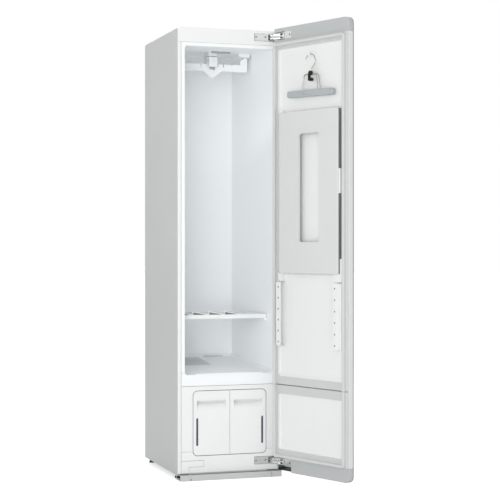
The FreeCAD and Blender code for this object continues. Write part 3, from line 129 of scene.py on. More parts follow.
# ------------------------------------------------------------------ colours
def linear(code):
    """Linear RGB of an sRGB hex colour."""
    values = [int(code[i:i + 2], 16) / 255 for i in (1, 3, 5)]
    return [v / 12.92 if v <= 0.04045 else ((v + 0.055) / 1.055) ** 2.4 for v in values]


def colour(label, words, code):
    return bpy.props.FloatVectorProperty(
        name=label, description=words, subtype="COLOR", size=3, min=0.0, max=1.0, default=linear(code)
    )


def length(label, words, value):
    return bpy.props.FloatProperty(
        name=label, description=words, default=value * MM, min=0.0, precision=5, unit="LENGTH"
    )


class CabinetColours(bpy.types.PropertyGroup):
    shell: colour("Shell", "Powder coat of the steel side panels and the top", "#C9CBCA")
    front: colour("Front", "Glossy white of the front panels and tank fronts", "#F1F3F2")
    liner: colour("Liner", "Satin white of the cavity's walls and floor", "#F8FBFC")
    fitting: colour("Fitting", "White of the hanger bar, shelf and rails", "#F3F5F5")
    door_ring: colour("Door ring", "Light grey of the door's inner frame", "#CED0CF")
    door_panel: colour("Door panel", "White of the recessed inner door panels", "#EDEFEE")
    door_cap: colour("Door caps", "Grey of the door's end caps", "#BDC0C0")
    door_edge: colour("Door edge", "Coated strip along the door's edges", "#E2E5E4")
    glass: colour("Door glass", "Tint of the mirrored door glass", "#33383A")
    gasket: colour("Gasket", "Soft seal round the door", "#D2D5D4")
    press: colour("Press cover", "Satin grey white of the trousers press", "#DBDDDC")
    clamp: colour("Clamp", "Grey of the trousers hanger's clamp", "#B0B5B8")
    plinth: colour("Plinth", "Grey of the kick plate", "#C5C8C7")
    window: colour("Level window", "Blue grey of the tanks' clear plastic", "#5C6E8C")


class CabinetSizes(bpy.types.PropertyGroup):
    sheet_round: length("Sheet edge", "Rounding of folded and cut sheet edges", 0.45)
    mould_round: length("Moulding edge", "Rounding of moulded edges", 0.9)
    opening_round: length("Opening edge", "Rounding of the cavity's front edge", 1.6)
    wire: length("Wire", "Thickness of the hanger's wire", 3.2)
    seal_depth: length("Seal", "How far the door seal stands off the ring", 14.4)
    louvre_depth: length("Louvre", "How far the rear louvres stand out", 2.3)


def sizes():
    return bpy.context.scene.cabinet_sizes


def tones():
    return bpy.context.scene.cabinet_colours


# ------------------------------------------------------------------ materials
# Most of a noise pattern lies between these values.
PATTERN_SPAN = (0.3, 0.7)


def add_node(tree, kind, values=None, links=None, **settings):
    """One node with its settings, socket values and links from (node, output) pairs."""
    made = tree.nodes.new(kind)
    for name, value in settings.items():
        setattr(made, name, value)
    for socket, value in (values or {}).items():
        made.inputs[socket].default_value = value
    for socket, (source, output) in (links or {}).items():
        tree.links.new(source.outputs[output], made.inputs[socket])
    return made


def blank_material(name, values=None):
    """A material with its shader at plain values, its output, and where its patterns are read."""
    material = bpy.data.materials.new(name)
    material.use_nodes = True
    tree = material.node_tree
    tree.nodes.clear()
    shader = add_node(tree, "ShaderNodeBsdfPrincipled", values)
    add_node(tree, "ShaderNodeOutputMaterial", links={"Surface": (shader, "BSDF")})
    place = add_node(tree, "ShaderNodeTexCoord")
    return material, tree, shader, (place, "Object")


def scaled(rgb, factor):
    return tuple(min(1.0, c * factor) for c in rgb) + (1.0,)


def tint(tree, shader, pattern, rgb, dark, light, roughness=None):
    """Colour between two strengths of it, and roughness between two values, as a pattern runs."""
    mix = add_node(
        tree, "ShaderNodeMix", {6: scaled(rgb, dark), 7: scaled(rgb, light)}, {0: pattern},
        data_type="RGBA",
    )
    tree.links.new(mix.outputs[2], shader.inputs["Base Color"])
    if roughness:
        low, high = roughness
        first, last = PATTERN_SPAN
        span = add_node(
            tree, "ShaderNodeMapRange",
            {"From Min": first, "From Max": last, "To Min": low, "To Max": high}, {"Value": pattern},
        )
        tree.links.new(span.outputs["Result"], shader.inputs["Roughness"])


def uneven(tree, shader, where, rgb, spread, patch, roughness=None):
    """Colour and roughness that drift a little over patches of a given size in millimetres."""
    drift = add_node(
        tree, "ShaderNodeTexNoise", {"Scale": 1 / (patch * MM), "Detail": 3.0}, {"Vector": where}
    )
    tint(tree, shader, (drift, "Fac"), rgb, 1 - spread, 1 + spread, roughness)


def grain(tree, shader, where, size, detail, height, strength, more=None):
    """Relief with lumps of a size and a height in millimetres; returns its pattern."""
    lumps = add_node(
        tree, "ShaderNodeTexNoise", {"Scale": 1 / (size * MM), "Detail": detail, **(more or {})},
        {"Vector": where},
    )
    relief = add_node(
        tree, "ShaderNodeBump", {"Strength": strength, "Distance": height * MM}, {"Height": (lumps, "Fac")}
    )
    tree.links.new(relief.outputs["Normal"], shader.inputs["Normal"])
    return lumps, "Fac"


def moulded_plastic(name, rgb, roughness, size, height, ior=1.53, spread=0.012):
    """Injection-moulded plastic: eroded mould grain, faint flow mottling, hands polish it unevenly.

    Real mould grain is a few tenths of a millimetre wide. It is drawn coarser, so that it shows.
    """
    material, tree, shader, where = blank_material(name, {"IOR": ior})
    uneven(tree, shader, where, rgb, spread, 120, (roughness - 0.04, roughness + 0.05))
    grain(tree, shader, where, size, 2.0, height, 0.6, {"Roughness": 0.6})
    return material


def powder_coated_steel(name, rgb):
    """Polyester powder on sheet steel: orange peel about two millimetres wide, soft sheen."""
    material, tree, shader, where = blank_material(name)
    uneven(tree, shader, where, rgb, 0.015, 260, (0.36, 0.46))
    grain(tree, shader, where, 2.2, 1.5, 0.035, 0.5)
    return material


def galvanised_steel(name, rgb):
    """Zinc-coated sheet: crystals a few millimetres across that catch the light differently."""
    material, tree, shader, where = blank_material(name, {"Metallic": 1.0})
    spangle = add_node(
        tree, "ShaderNodeTexVoronoi", {"Scale": 1 / (7 * MM), "Randomness": 1.0}, {"Vector": where}
    )
    grey = add_node(tree, "ShaderNodeRGBToBW", links={"Color": (spangle, "Color")})
    tint(tree, shader, (grey, "Val"), rgb, 0.86, 1.08, (0.34, 0.5))
    return material


def bright_metal(name, rgb, roughness, wave=22.0, height=0.02):
    """Nickel, chrome or zinc on steel, or drawn tube: slight waviness, fine handling marks."""
    material, tree, shader, where = blank_material(name, {"Metallic": 1.0})
    uneven(tree, shader, where, rgb, 0.03, 14, (roughness, roughness + 0.12))
    grain(tree, shader, where, wave, 2.0, height, 0.7)
    return material


def rolled_aluminium(name, rgb, roughness):
    """Rolled sheet: shallow hairlines along its height.

    Real ones are finer than a tenth of a millimetre. They are drawn 0.7 mm apart, so that they show.
    """
    material, tree, shader, where = blank_material(name, {"Metallic": 1.0})
    stretch = add_node(tree, "ShaderNodeMapping", {"Scale": (1400.0, 1400.0, 9.0)}, {"Vector": where})
    lines = grain(tree, shader, (stretch, "Vector"), 1000.0, 2.0, 0.01, 0.5)
    tint(tree, shader, lines, rgb, 0.95, 1.04, (roughness - 0.05, roughness + 0.1))
    return material


def cast_metal(name, rgb, roughness, metallic=1.0):
    """Sand-textured casting or painted pressing, with lumps of about a millimetre and a half."""
    material, tree, shader, where = blank_material(name, {"Metallic": metallic})
    uneven(tree, shader, where, rgb, 0.06, 30, (roughness - 0.06, roughness + 0.1))
    grain(tree, shader, where, 1.5, 3.0, 0.12, 0.6)
    return material


def soft_seal(name, rgb):
    """Extruded PVC or rubber: dull, slightly dusty, with faint lines from the die."""
    material, tree, shader, where = blank_material(
        name, {"IOR": 1.5, "Sheen Weight": 0.15, "Sheen Roughness": 0.5}
    )
    uneven(tree, shader, where, rgb, 0.03, 40, (0.55, 0.7))
    grain(tree, shader, where, 0.9, 2.0, 0.05, 0.5)
    return material


def mirror_glass(name, rgb):
    """Tempered float glass with a dark mirror coat: flat to the eye, with a long soft roller wave."""
    material, tree, shader, where = blank_material(
        name, {"Metallic": 0.85, "Coat Weight": 1.0, "Coat Roughness": 0.02, "Coat IOR": 1.52}
    )
    uneven(tree, shader, where, rgb, 0.04, 300, (0.02, 0.05))
    grain(tree, shader, where, 180, 1.0, 0.06, 0.4)
    return material


def clear_plastic(name, rgb, roughness, see_through):
    """Moulded SAN or polycarbonate, tinted or cloudy with faint flow marks, or a ground glass edge."""
    material, tree, shader, where = blank_material(name, {"IOR": 1.57, "Transmission Weight": see_through})
    uneven(tree, shader, where, rgb, 0.04, 60, (roughness, roughness + 0.08))
    grain(tree, shader, where, 6, 2.0, 0.03, 0.4)
    return material


def fibre_board(name, rgb):
    """Pressed fibre insulation: fibres about a millimetre thick lying every way."""
    material, tree, shader, where = blank_material(name, {"Roughness": 0.95})
    uneven(tree, shader, where, rgb, 0.1, 4)
    grain(tree, shader, where, 1.2, 5.0, 0.5, 0.8, {"Distortion": 1.5})
    return material


def make_finishes():
    """Every finish of the cabinet, by its workshop name.

    A plastic's numbers are its roughness, its grain's width and height in millimetres and its IOR.
    """
    t = tones()
    return {
        "powder coated steel": powder_coated_steel("powder_coated_steel", t.shell),
        "white coated steel": powder_coated_steel("white_coated_steel", t.front),
        "glossy white ABS": moulded_plastic("glossy_white_abs", t.front, 0.36, 1.2, 0.012),
        "satin liner ABS": moulded_plastic("satin_liner_abs", t.liner, 0.42, 1.4, 0.03),
        "white fitting ABS": moulded_plastic("white_fitting_abs", t.fitting, 0.3, 1.2, 0.015),
        "door ring ABS": moulded_plastic("door_ring_abs", t.door_ring, 0.4, 1.3, 0.025),
        "door panel ABS": moulded_plastic("door_panel_abs", t.door_panel, 0.38, 1.3, 0.02),
        "door cap ABS": moulded_plastic("door_cap_abs", t.door_cap, 0.42, 1.3, 0.03),
        "press cover ABS": moulded_plastic("press_cover_abs", t.press, 0.4, 1.3, 0.025),
        "grey clamp polypropylene": moulded_plastic("clamp_polypropylene", t.clamp, 0.42, 1.0, 0.03, 1.49),
        "plinth ABS": moulded_plastic("plinth_abs", t.plinth, 0.4, 1.4, 0.03),
        "filter polypropylene": moulded_plastic(
            "filter_polypropylene", linear("#D3D9DA"), 0.45, 1.2, 0.03, 1.49
        ),
        # Dark grey polypropylene of the ducts and boxes, also used as painted shade on the plinth's top and
        # the press cover's set-back edge.
        "duct polypropylene and painted shade": moulded_plastic("duct_polypropylene", linear("#7C8082"), 0.5, 1.6, 0.05, 1.49),
        "black polyamide": moulded_plastic("black_polyamide", linear("#060607"), 0.42, 0.9, 0.03, 1.4, 0.05),
        "door edge strip": powder_coated_steel("coated_edge_strip", t.door_edge),
        "aluminium sheet": rolled_aluminium("rolled_aluminium_sheet", linear("#C9CCCE"), 0.35),
        "mirror glass": mirror_glass("dark_mirror_glass", t.glass),
        "ground glass edge": clear_plastic("ground_glass_edge", linear("#101415"), 0.3, 0.0),
        "door seal": soft_seal("pvc_door_seal", t.gasket),
        "foot rubber": soft_seal("nitrile_rubber", linear("#26272A")),
        "galvanised steel": galvanised_steel("galvanised_steel", linear("#B4B8BA")),
        "nickel plated steel": bright_metal("nickel_plated_steel", linear("#DDDFDD"), 0.16),
        "chrome wire": bright_metal("chrome_wire", linear("#B4B0A6"), 0.12, 9.0, 0.01),
        "zinc plated steel": bright_metal("zinc_plated_steel", linear("#A9ACAE"), 0.3),
        "copper tube": bright_metal("drawn_copper_tube", linear("#B87958"), 0.24, 30.0, 0.03),
        "cast aluminium": cast_metal("cast_aluminium", linear("#B9BBBD"), 0.42),
        "black painted steel": cast_metal("black_painted_steel", linear("#1C1D1F"), 0.38, 0.0),
        "tank SAN": clear_plastic("tinted_tank_san", t.window, 0.16, 0.55),
        "lamp polycarbonate": clear_plastic("frosted_polycarbonate", linear("#B4BDBF"), 0.45, 0.2),
        "fibre board": fibre_board("pressed_fibre_board", linear("#CFCDC4")),
    }


FINISHES = {}


def finish(name):
    if not FINISHES:
        FINISHES.update(make_finishes())
    return FINISHES[name]

# ------------------------------------------------------------------ meshes
# Degrees past which an edge stays crisp: on flat parts, on crowned ones, on wires and on the seal.
SHARP_ANGLE, CROWN_ANGLE, WIRE_ANGLE, SEAL_ANGLE = 35.0, 50.0, 60.0, 75.0


def new_object(name, data):
    """A new object in the scene."""
    made = bpy.data.objects.new(name, data)
    bpy.context.scene.collection.objects.link(made)
    return made


def rework(mesh, *steps):
    """Runs steps on a mesh; each of them changes the open bmesh that it is given."""
    body = bmesh.new()
    body.from_mesh(mesh)
    for step in steps:
        step(body)
    body.to_mesh(mesh)
    body.free()


def merge_doubles(body):
    """Merges points that are within a thousandth of a millimetre of each other."""
    bmesh.ops.remove_doubles(body, verts=body.verts, dist=1e-6)


def face_outwards(body):
    bmesh.ops.recalc_face_normals(body, faces=body.faces)


def close_holes(body):
    bmesh.ops.holes_fill(body, edges=body.edges)


def join_flat(body):
    """Merges a frame node's loose triangles into whole flat faces."""
    bmesh.ops.remove_doubles(body, verts=body.verts, dist=2e-6)
    bmesh.ops.dissolve_limit(body, angle_limit=math.radians(1.0), verts=body.verts, edges=body.edges)


def mesh_object(name, points, faces):
    """A new object from points in metres and faces as index lists, facing outwards."""
    mesh = bpy.data.meshes.new(name)
    mesh.from_pydata([tuple(p) for p in points], [], faces)
    rework(mesh, merge_doubles, face_outwards)
    return new_object(name, mesh)


def evaluated_mesh(made):
    """A plain mesh of an object with its modifiers, or its curve's thickness, worked in."""
    graph = bpy.context.evaluated_depsgraph_get()
    return bpy.data.meshes.new_from_object(made.evaluated_get(graph), depsgraph=graph)


def settle(made):
    """Replaces an object's mesh by its evaluated one, so that no modifier stays."""
    mesh = evaluated_mesh(made)
    made.modifiers.clear()
    made.data = mesh
    mesh.name = made.name
    return made


def smooth(made, angle=SHARP_ANGLE):
    """Smooth shading that stays crisp where faces meet at more than the angle in degrees."""
    for face in made.data.polygons:
        face.use_smooth = True
    made.data.set_sharp_from_angle(angle=math.radians(angle))
    return made


def bevel(made, width):
    """Edges rounded by a width in metres, with flat faces kept flat in their shading."""
    cut = made.modifiers.new("round", "BEVEL")
    cut.width = width
    cut.segments = 2
    cut.limit_method = "ANGLE"
    cut.angle_limit = math.radians(SHARP_ANGLE)
    for face in made.data.polygons:
        face.use_smooth = True
    settle(made)
    made.modifiers.new("even", "WEIGHTED_NORMAL")
    return settle(made)


def dress(made, body, slot, *finishes, nodes=()):
    """Gives a piece its finishes, its body and the frame nodes it stands for; its record slot is not used.
    """
    made.data.materials.clear()
    for name in finishes:
        made.data.materials.append(finish(name))
    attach(made, body)
    if nodes:
        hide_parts(*nodes)
    return made


def rounded_loop(s0, s1, z0, z1, radius, steps=6):
    """Rounded rectangle as a list of (s, z), anticlockwise from the lower left corner."""
    loop = []
    corners = [(s0, z0, 180), (s1, z0, 270), (s1, z1, 0), (s0, z1, 90)]
    for s, z, start in corners:
        cs = s + radius if s == s0 else s - radius
        cz = z + radius if z == z0 else z - radius
        for step in range(steps + 1):
            turn = math.radians(start + 90 * step / steps)
            loop.append((cs + radius * math.cos(turn), cz + radius * math.sin(turn)))
    return loop


def surface(name, rows, closed=False, round_rows=True):
    """Surface through rows of as many points each.

    closed joins the last row to the first, and round_rows joins each row's end to its start.
    """
    count, wide = len(rows), len(rows[0])
    faces = []
    for a in range(count if closed else count - 1):
        b = (a + 1) % count
        for i in range(wide if round_rows else wide - 1):
            j = (i + 1) % wide
            faces.append((a * wide + i, a * wide + j, b * wide + j, b * wide + i))
    return mesh_object(name, [p for row in rows for p in row], faces)


def fill_ends(made):
    """Closes the open ends of a surface and turns its faces outwards."""
    rework(made.data, close_holes, face_outwards)
    return made


def wire(name, paths, radius):
    """Round wires through smooth curves, as one mesh of closed tubes with twelve sides."""
    curve = bpy.data.curves.new(name, "CURVE")
    curve.dimensions = "3D"
    curve.bevel_depth = radius
    curve.bevel_resolution = 2
    curve.resolution_u = 6
    curve.use_fill_caps = True
    for points in paths:
        spline = curve.splines.new("NURBS")
        spline.points.add(len(points) - 1)
        for knot, place in zip(spline.points, points):
            knot.co = (*place, 1.0)
        spline.order_u = 3
        spline.use_endpoint_u = True
    holder = new_object(name + "_line", curve)
    mesh = evaluated_mesh(holder)
    bpy.data.objects.remove(holder)
    rework(mesh, merge_doubles, face_outwards)
    return smooth(new_object(name, mesh), WIRE_ANGLE)


# ------------------------------------------------------------------ repeats
def repeat_tree():
    """Node tree that sets one item on every point, turned and scaled."""
    name = "set_item_on_points"
    if name in bpy.data.node_groups:
        return bpy.data.node_groups[name]
    tree = bpy.data.node_groups.new(name, "GeometryNodeTree")
    face = tree.interface
    face.new_socket("Geometry", in_out="INPUT", socket_type="NodeSocketGeometry")
    face.new_socket("Item", in_out="INPUT", socket_type="NodeSocketObject")
    face.new_socket("Size", in_out="INPUT", socket_type="NodeSocketFloat")
    face.new_socket("Turn", in_out="INPUT", socket_type="NodeSocketRotation")
    face.new_socket("Finish", in_out="INPUT", socket_type="NodeSocketMaterial")
    face.new_socket("Geometry", in_out="OUTPUT", socket_type="NodeSocketGeometry")
    given = add_node(tree, "NodeGroupInput")
    item = add_node(tree, "GeometryNodeObjectInfo", links={"Object": (given, "Item")})
    grow = add_node(tree, "ShaderNodeCombineXYZ", links={i: (given, "Size") for i in range(3)})
    placed = add_node(tree, "GeometryNodeInstanceOnPoints", links={
        "Points": (given, "Geometry"), "Instance": (item, "Geometry"),
        "Rotation": (given, "Turn"), "Scale": (grow, "Vector"),
    })
    real = add_node(tree, "GeometryNodeRealizeInstances", links={"Geometry": (placed, "Instances")})
    coated = add_node(tree, "GeometryNodeSetMaterial", links={
        "Geometry": (real, "Geometry"), "Material": (given, "Finish"),
    })
    add_node(tree, "NodeGroupOutput", links={"Geometry": (coated, "Geometry")})
    return tree


def repeat(name, item, places, turn, material, size=1.0):
    """One mesh with the item on every place. The item is drawn round the origin and removed."""
    mesh = bpy.data.meshes.new(name)
    mesh.from_pydata([tuple(p) for p in places], [], [])
    made = new_object(name, mesh)
    tree = repeat_tree()
    rule = made.modifiers.new("repeat", "NODES")
    rule.node_group = tree
    names = {s.name: s.identifier for s in tree.interface.items_tree if s.in_out == "INPUT"}
    for label, value in (("Item", item), ("Size", size), ("Turn", turn), ("Finish", material)):
        rule[names[label]] = value
    settle(made)
    bpy.data.objects.remove(item)
    return made


# ------------------------------------------------------------------ frame parts
# Frame nodes that are right as they are; most of them sit inside and only need their finish.
PLAIN_NODES = {
    "base_pan": "galvanised steel",
    "insulation_boards": "fibre board",
    "steam_nozzle": "filter polypropylene",
    "tank_bay": "duct polypropylene and painted shade",
    "levelling_foot_left": "foot rubber",
    "levelling_foot_right": "foot rubber",
    "rear_feet": "foot rubber",
    "cabinet_screws": "zinc plated steel",
    "hanger_motor": "zinc plated steel",
    "hanger_crank": "zinc plated steel",
    "filter_duct": "duct polypropylene and painted shade",
    "lint_filter": "filter polypropylene",
    "heat_exchanger": "aluminium sheet",
    "blower_housing": "duct polypropylene and painted shade",
    "blower_wheel": "black polyamide",
    "blower_motor": "zinc plated steel",
    "compressor": "black painted steel",
    "steam_generator": "cast aluminium",
    "water_pumps": "black polyamide",
    "control_box": "duct polypropylene and painted shade",
    "pipework": "copper tube",
    "supply_tank_body": "tank SAN",
    "drain_tank_body": "tank SAN",
    "touch_module": "black polyamide",
    "hinge_links": "nickel plated steel",
}

# Frame nodes whose edges are rounded on a copy: node, finish, rounding and the copy's name.
ROUNDED_NODES = [
    ("side_panel_left", "powder coated steel", "sheet_round", "left_side_sheet"),
    ("side_panel_right", "powder coated steel", "sheet_round", "right_side_sheet"),
    ("top_cover", "powder coated steel", "sheet_round", "top_sheet"),
    ("back_panel", "galvanised steel", "sheet_round", "rear_sheet"),
    ("top_front_panel", "glossy white ABS", "mould_round", "top_front"),
    ("lower_front_panel", "glossy white ABS", "mould_round", "tank_surround"),
    ("bottom_front_panel", "glossy white ABS", "mould_round", "bottom_front"),
    ("blank_hinge_cover", "glossy white ABS", "sheet_round", "hinge_blank"),
    ("kick_plate", "plinth ABS", "sheet_round", "plinth"),
    ("cavity_liner", "satin liner ABS", "opening_round", "cavity_walls"),
    ("cavity_floor", "satin liner ABS", "opening_round", "cavity_tray"),
    ("cavity_lamp", "lamp polycarbonate", "mould_round", "lamp_lens"),
    ("power_inlet", "black polyamide", "sheet_round", "inlet_socket"),
    ("drive_housing", "white fitting ABS", "opening_round", "drive_cover"),
    ("hanger_bar", "white fitting ABS", "mould_round", "moving_bar"),
    ("hanger_guides", "white fitting ABS", "mould_round", "bar_guides"),
    ("shelf", "white fitting ABS", "mould_round", "slatted_shelf"),
    ("supply_tank_front", "glossy white ABS", "mould_round", "supply_front"),
    ("drain_tank_front", "glossy white ABS", "mould_round", "drain_front"),
    ("hinge_brackets", "nickel plated steel", "sheet_round", "hinge_plates"),
    ("hinge_cups", "nickel plated steel", "sheet_round", "hinge_knuckles"),
    ("door_glass", "mirror glass", "sheet_round", "outer_pane"),
    ("door_frame", "door edge strip", "sheet_round", "door_rails"),
    ("door_end_caps", "door cap ABS", "mould_round", "door_caps"),
    ("door_hook", "door panel ABS", "mould_round", "hanging_peg"),
    ("press_cover", "press cover ABS", "mould_round", "press_lid"),
    ("press_latch", "white fitting ABS", "mould_round", "press_grip"),
    ("press_rails", "door panel ABS", "mould_round", "trouser_rails"),
    ("clamp_bar", "grey clamp polypropylene", "mould_round", "rear_clamp"),
    ("hanger_clip", "black polyamide", "mould_round", "clamp_clip"),
]


# The cosine past which a face looks along a direction.
FACING = 0.7


def front_lip(face):
    """The side sheet's flange that looks forward beside the front panels."""
    lip_back = 0.5
    return face.center.y < lip_back * MM and face.normal.y < -FACING


def pane_edge(face):
    """The ground edge of the outer pane, with its bevels."""
    slant = 0.6
    outward = door_point(0, 1, 0) - door_point(0, 0, 0)
    return abs(face.normal.dot(outward.normalized())) < slant


def cover_edge_painted_shade(face):
    """The set-back edge under the press cover's free side, coloured dark grey as painted shade for the
    shadow gap there.
    """
    free_edge, cover_back = 405.0, 13.3
    s, o, _ = door_coordinates(face.center)
    return s > free_edge and o < cover_back


def plinth_top_painted_shade(face):
    """The plinth's top faces, coloured dark grey as painted shade for the shadow gap under the front panels.
    """
    shaded_top_height = 24.0
    return face.normal.z > FACING and face.center.z > shaded_top_height * MM


def door_recess(face):
    """The recessed panel inside the door's ring."""
    s, o, _ = door_coordinates(face.center)
    return o < RECESS_RIM and RECESS_SIDES[0] < s < RECESS_SIDES[1]


# Second finish of a copy, and the test that picks its faces.
SECOND_FINISHES = {
    # The plinth's top is coloured dark grey as painted shade.
    "kick_plate": ("duct polypropylene and painted shade", plinth_top_painted_shade),
    "side_panel_left": ("white coated steel", front_lip),
    "side_panel_right": ("white coated steel", front_lip),
    "door_glass": ("ground glass edge", pane_edge),
    # The press cover's set-back edge is coloured dark grey as painted shade.
    "press_cover": ("duct polypropylene and painted shade", cover_edge_painted_shade),
    "door_liner_upper": ("door panel ABS", door_recess),
    "door_liner_lower": ("door panel ABS", door_recess),
}


def node_slot(node):
    slots = {part["node"]: part["material_slot"] for part in frame["record"]["subparts"]}
    return slots[node]


def rounded_copy(node, name, rounding, first):
    """A copy of a frame node with rounded edges, its first finish and its second where it has one."""
    source = frame["nodes"][node]
    made = new_object(name, source.data.copy())
    made.data.materials.clear()
    rework(made.data, join_flat)
    bevel(made, rounding)
    dress(made, source["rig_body"], node_slot(node), first, nodes=[node])
    if node in SECOND_FINISHES:
        second, picks = SECOND_FINISHES[node]
        made.data.materials.append(finish(second))
        for face in made.data.polygons:
            face.material_index = int(picks(face))


# ------------------------------------------------------------------ the stage, in metres
CAMERA_PLACE = (-1.76368, -5.52473, 0.95763)
CAMERA_TURN = -18.52
CAMERA_LENS = 101.59
CAMERA_SHIFT = -0.0099
WHITE = (1.0, 1.0, 1.0, 1.0)
ROOM_STRENGTH = 0.64
FLOOR_REACH = 40.0
FLOOR_COLOUR = (0.9, 0.9, 0.9, 1.0)
FLOOR_GLOW = 0.58
# Each lamp's name, place, target, width and power. The two small ones stand for the light that
# clothes throw back inside the cavity. A lamp no wider than SMALL_LAMP has no reflection.
LAMPS = [
    ("front_softbox", (-2.9, -4.5, 1.2), (0.0, 0.0, 0.9), 3.2, 84.0),
    ("front_fill", (-1.8, -5.2, 0.25), (0.0, 0.0, 0.8), 2.6, 68.0),
    ("rear_softbox", (1.8, 3.8, 3.2), (0.0, 0.2, 0.9), 2.6, 60.0),
    ("upper_bounce", (0.0, 0.06, 1.4), (0.05, 0.3, 1.78), 0.24, 0.08),
    ("lower_bounce", (-0.02, 0.04, 0.6), (0.08, 0.24, 0.46), 0.12, 0.04),
]
SMALL_LAMP = 1.0


# ------------------------------------------------------------------ operators
class CABINET_OT_stage(bpy.types.Operator):
    """Sets the floor, the backdrop, the lamps and the camera"""
    bl_idname = "steam_cabinet.stage"
    bl_label = "Stage, lamps and camera"

    def place_camera(self, scene):
        camera = new_object("camera", bpy.data.cameras.new("camera"))
        camera.location = CAMERA_PLACE
        camera.rotation_euler = (math.radians(90), 0, math.radians(CAMERA_TURN))
        camera.data.sensor_width = 36.0
        camera.data.lens = CAMERA_LENS
        camera.data.shift_y = CAMERA_SHIFT
        camera.data.clip_end = 100.0
        scene.camera = camera

    def light_room(self, scene):
        """A soft room light, with white for the camera and for mirrored and clear surfaces."""
        world = bpy.data.worlds.new("soft_room")
        world.use_nodes = True
        scene.world = world
        tree = world.node_tree
        tree.nodes.clear()
        path = add_node(tree, "ShaderNodeLightPath")
        seen = add_node(
            tree, "ShaderNodeMath", links={0: (path, "Is Camera Ray"), 1: (path, "Is Glossy Ray")},
            operation="MAXIMUM",
        )
        shown = add_node(
            tree, "ShaderNodeMath", links={0: (seen, 0), 1: (path, "Is Transmission Ray")},
            operation="MAXIMUM",
        )
        room = add_node(tree, "ShaderNodeBackground", {"Color": WHITE, "Strength": ROOM_STRENGTH})
        white = add_node(tree, "ShaderNodeBackground", {"Color": WHITE, "Strength": 1.0})
        mix = add_node(tree, "ShaderNodeMixShader", links={0: (shown, 0), 1: (room, 0), 2: (white, 0)})
        add_node(tree, "ShaderNodeOutputWorld", links={"Surface": (mix, 0)})

    def lay_floor(self):
        """A white floor that shows brighter to the camera than it lights the cabinet."""
        reach = FLOOR_REACH
        corners = [(-reach, -reach, 0), (reach, -reach, 0), (reach, reach, 0), (-reach, reach, 0)]
        floor = mesh_object("floor", corners, [(0, 1, 2, 3)])
        material = bpy.data.materials.new("white_studio_floor")
        material.use_nodes = True
        tree = material.node_tree
        tree.nodes.clear()
        path = add_node(tree, "ShaderNodeLightPath")
        lit = add_node(tree, "ShaderNodeBsdfDiffuse", {"Color": FLOOR_COLOUR})
        glow = add_node(tree, "ShaderNodeEmission", {"Color": WHITE, "Strength": FLOOR_GLOW})
        bright = add_node(tree, "ShaderNodeAddShader", links={0: (lit, 0), 1: (glow, 0)})
        mix = add_node(
            tree, "ShaderNodeMixShader", links={0: (path, "Is Camera Ray"), 1: (lit, 0), 2: (bright, 0)}
        )
        add_node(tree, "ShaderNodeOutputMaterial", links={"Surface": (mix, 0)})
        floor.data.materials.append(material)

    def execute(self, context):
        context.scene.view_settings.view_transform = "Standard"
        self.place_camera(context.scene)
        self.light_room(context.scene)
        self.lay_floor()
        for name, place, target, size, power in LAMPS:
            lamp = bpy.data.lights.new(name, "AREA")
            lamp.shape = "DISK"
            lamp.size = size
            lamp.energy = power
            holder = new_object(name, lamp)
            holder.location = place
            way = Vector(target) - Vector(place)
            holder.rotation_euler = way.to_track_quat("-Z", "Y").to_euler()
            holder.visible_camera = False
            holder.visible_glossy = size > SMALL_LAMP
        return {"FINISHED"}


class CABINET_OT_plain_nodes(bpy.types.Operator):
    """Gives the frame's own parts their finishes"""
    bl_idname = "steam_cabinet.plain_nodes"
    bl_label = "Finishes of the frame"

    def execute(self, context):
        for node, name in PLAIN_NODES.items():
            part = frame["nodes"][node]
            part.data.materials.clear()
            part.data.materials.append(finish(name))
        return {"FINISHED"}


class CABINET_OT_rounded_nodes(bpy.types.Operator):
    """Rounds the edges of the sheet and moulded parts on copies"""
    bl_idname = "steam_cabinet.rounded_nodes"
    bl_label = "Panels, liners and fittings"

    def execute(self, context):
        for node, name, rounding, copy_name in ROUNDED_NODES:
            rounded_copy(node, copy_name, getattr(sizes(), rounding), name)
        return {"FINISHED"}


class CABINET_OT_door_liners(bpy.types.Operator):
    """Makes the door's inner panels: a grey ring round a white recessed panel"""
    bl_idname = "steam_cabinet.door_liners"
    bl_label = "Door liners"

    def execute(self, context):
        for node, name in (("door_liner_upper", "upper_liner"), ("door_liner_lower", "lower_liner")):
            rounded_copy(node, name, sizes().mould_round, "door ring ABS")
        return {"FINISHED"}


class CABINET_OT_gasket(bpy.types.Operator):
    """Makes the door's bellows seal with its magnet tube"""
    bl_idname = "steam_cabinet.gasket"
    bl_label = "Door seal"

    def execute(self, context):
        left, right, low, high = 14.0, 436.0, 87.5, 1786.0
        corner, steps, half_gap = 14.0, 8, 0.8
        foot, clear = 8.1, 0.1
        top = foot + sizes().seal_depth / MM - clear
        # The bellows' section: how far in from the seal's edge, and how far off the door.
        section = [
            (0.8, foot), (0.6, foot + 1.6), (2.0, foot + 2.6), (0.5, foot + 3.8), (0.3, foot + 5.6),
            (0.0, top - 6.0), (0.2, top - 2.0), (1.2, top - 0.5), (2.8, top), (6.0, top), (9.2, top),
            (10.8, top - 0.5), (11.8, top - 2.0), (12.0, top - 6.0), (11.7, foot + 5.6),
            (11.5, foot + 3.8), (9.6, foot + 2.6), (11.4, foot + 1.6), (11.2, foot),
        ]
        half = 2 * (steps + 1)
        for name, below in (("lower_door_seal", True), ("upper_door_seal", False)):
            seam = SEAL_SEAM - half_gap if below else SEAL_SEAM + half_gap
            lines = []
            for inset, height in section:
                loop = rounded_loop(
                    left + inset, right - inset, low + inset, high - inset, corner - inset, steps
                )
                start, end = (left + inset, seam), (right - inset, seam)
                path = [start, *loop[:half], end] if below else [end, *loop[half:], start]
                lines.append([door_point(s, height, z) for s, z in path])
            made = fill_ends(surface(name, lines, closed=True, round_rows=False))
            nodes = ["door_gasket"] if below else ()
            dress(smooth(made, SEAL_ANGLE), "door", "gasket_grey", "door seal", nodes=nodes)
        return {"FINISHED"}


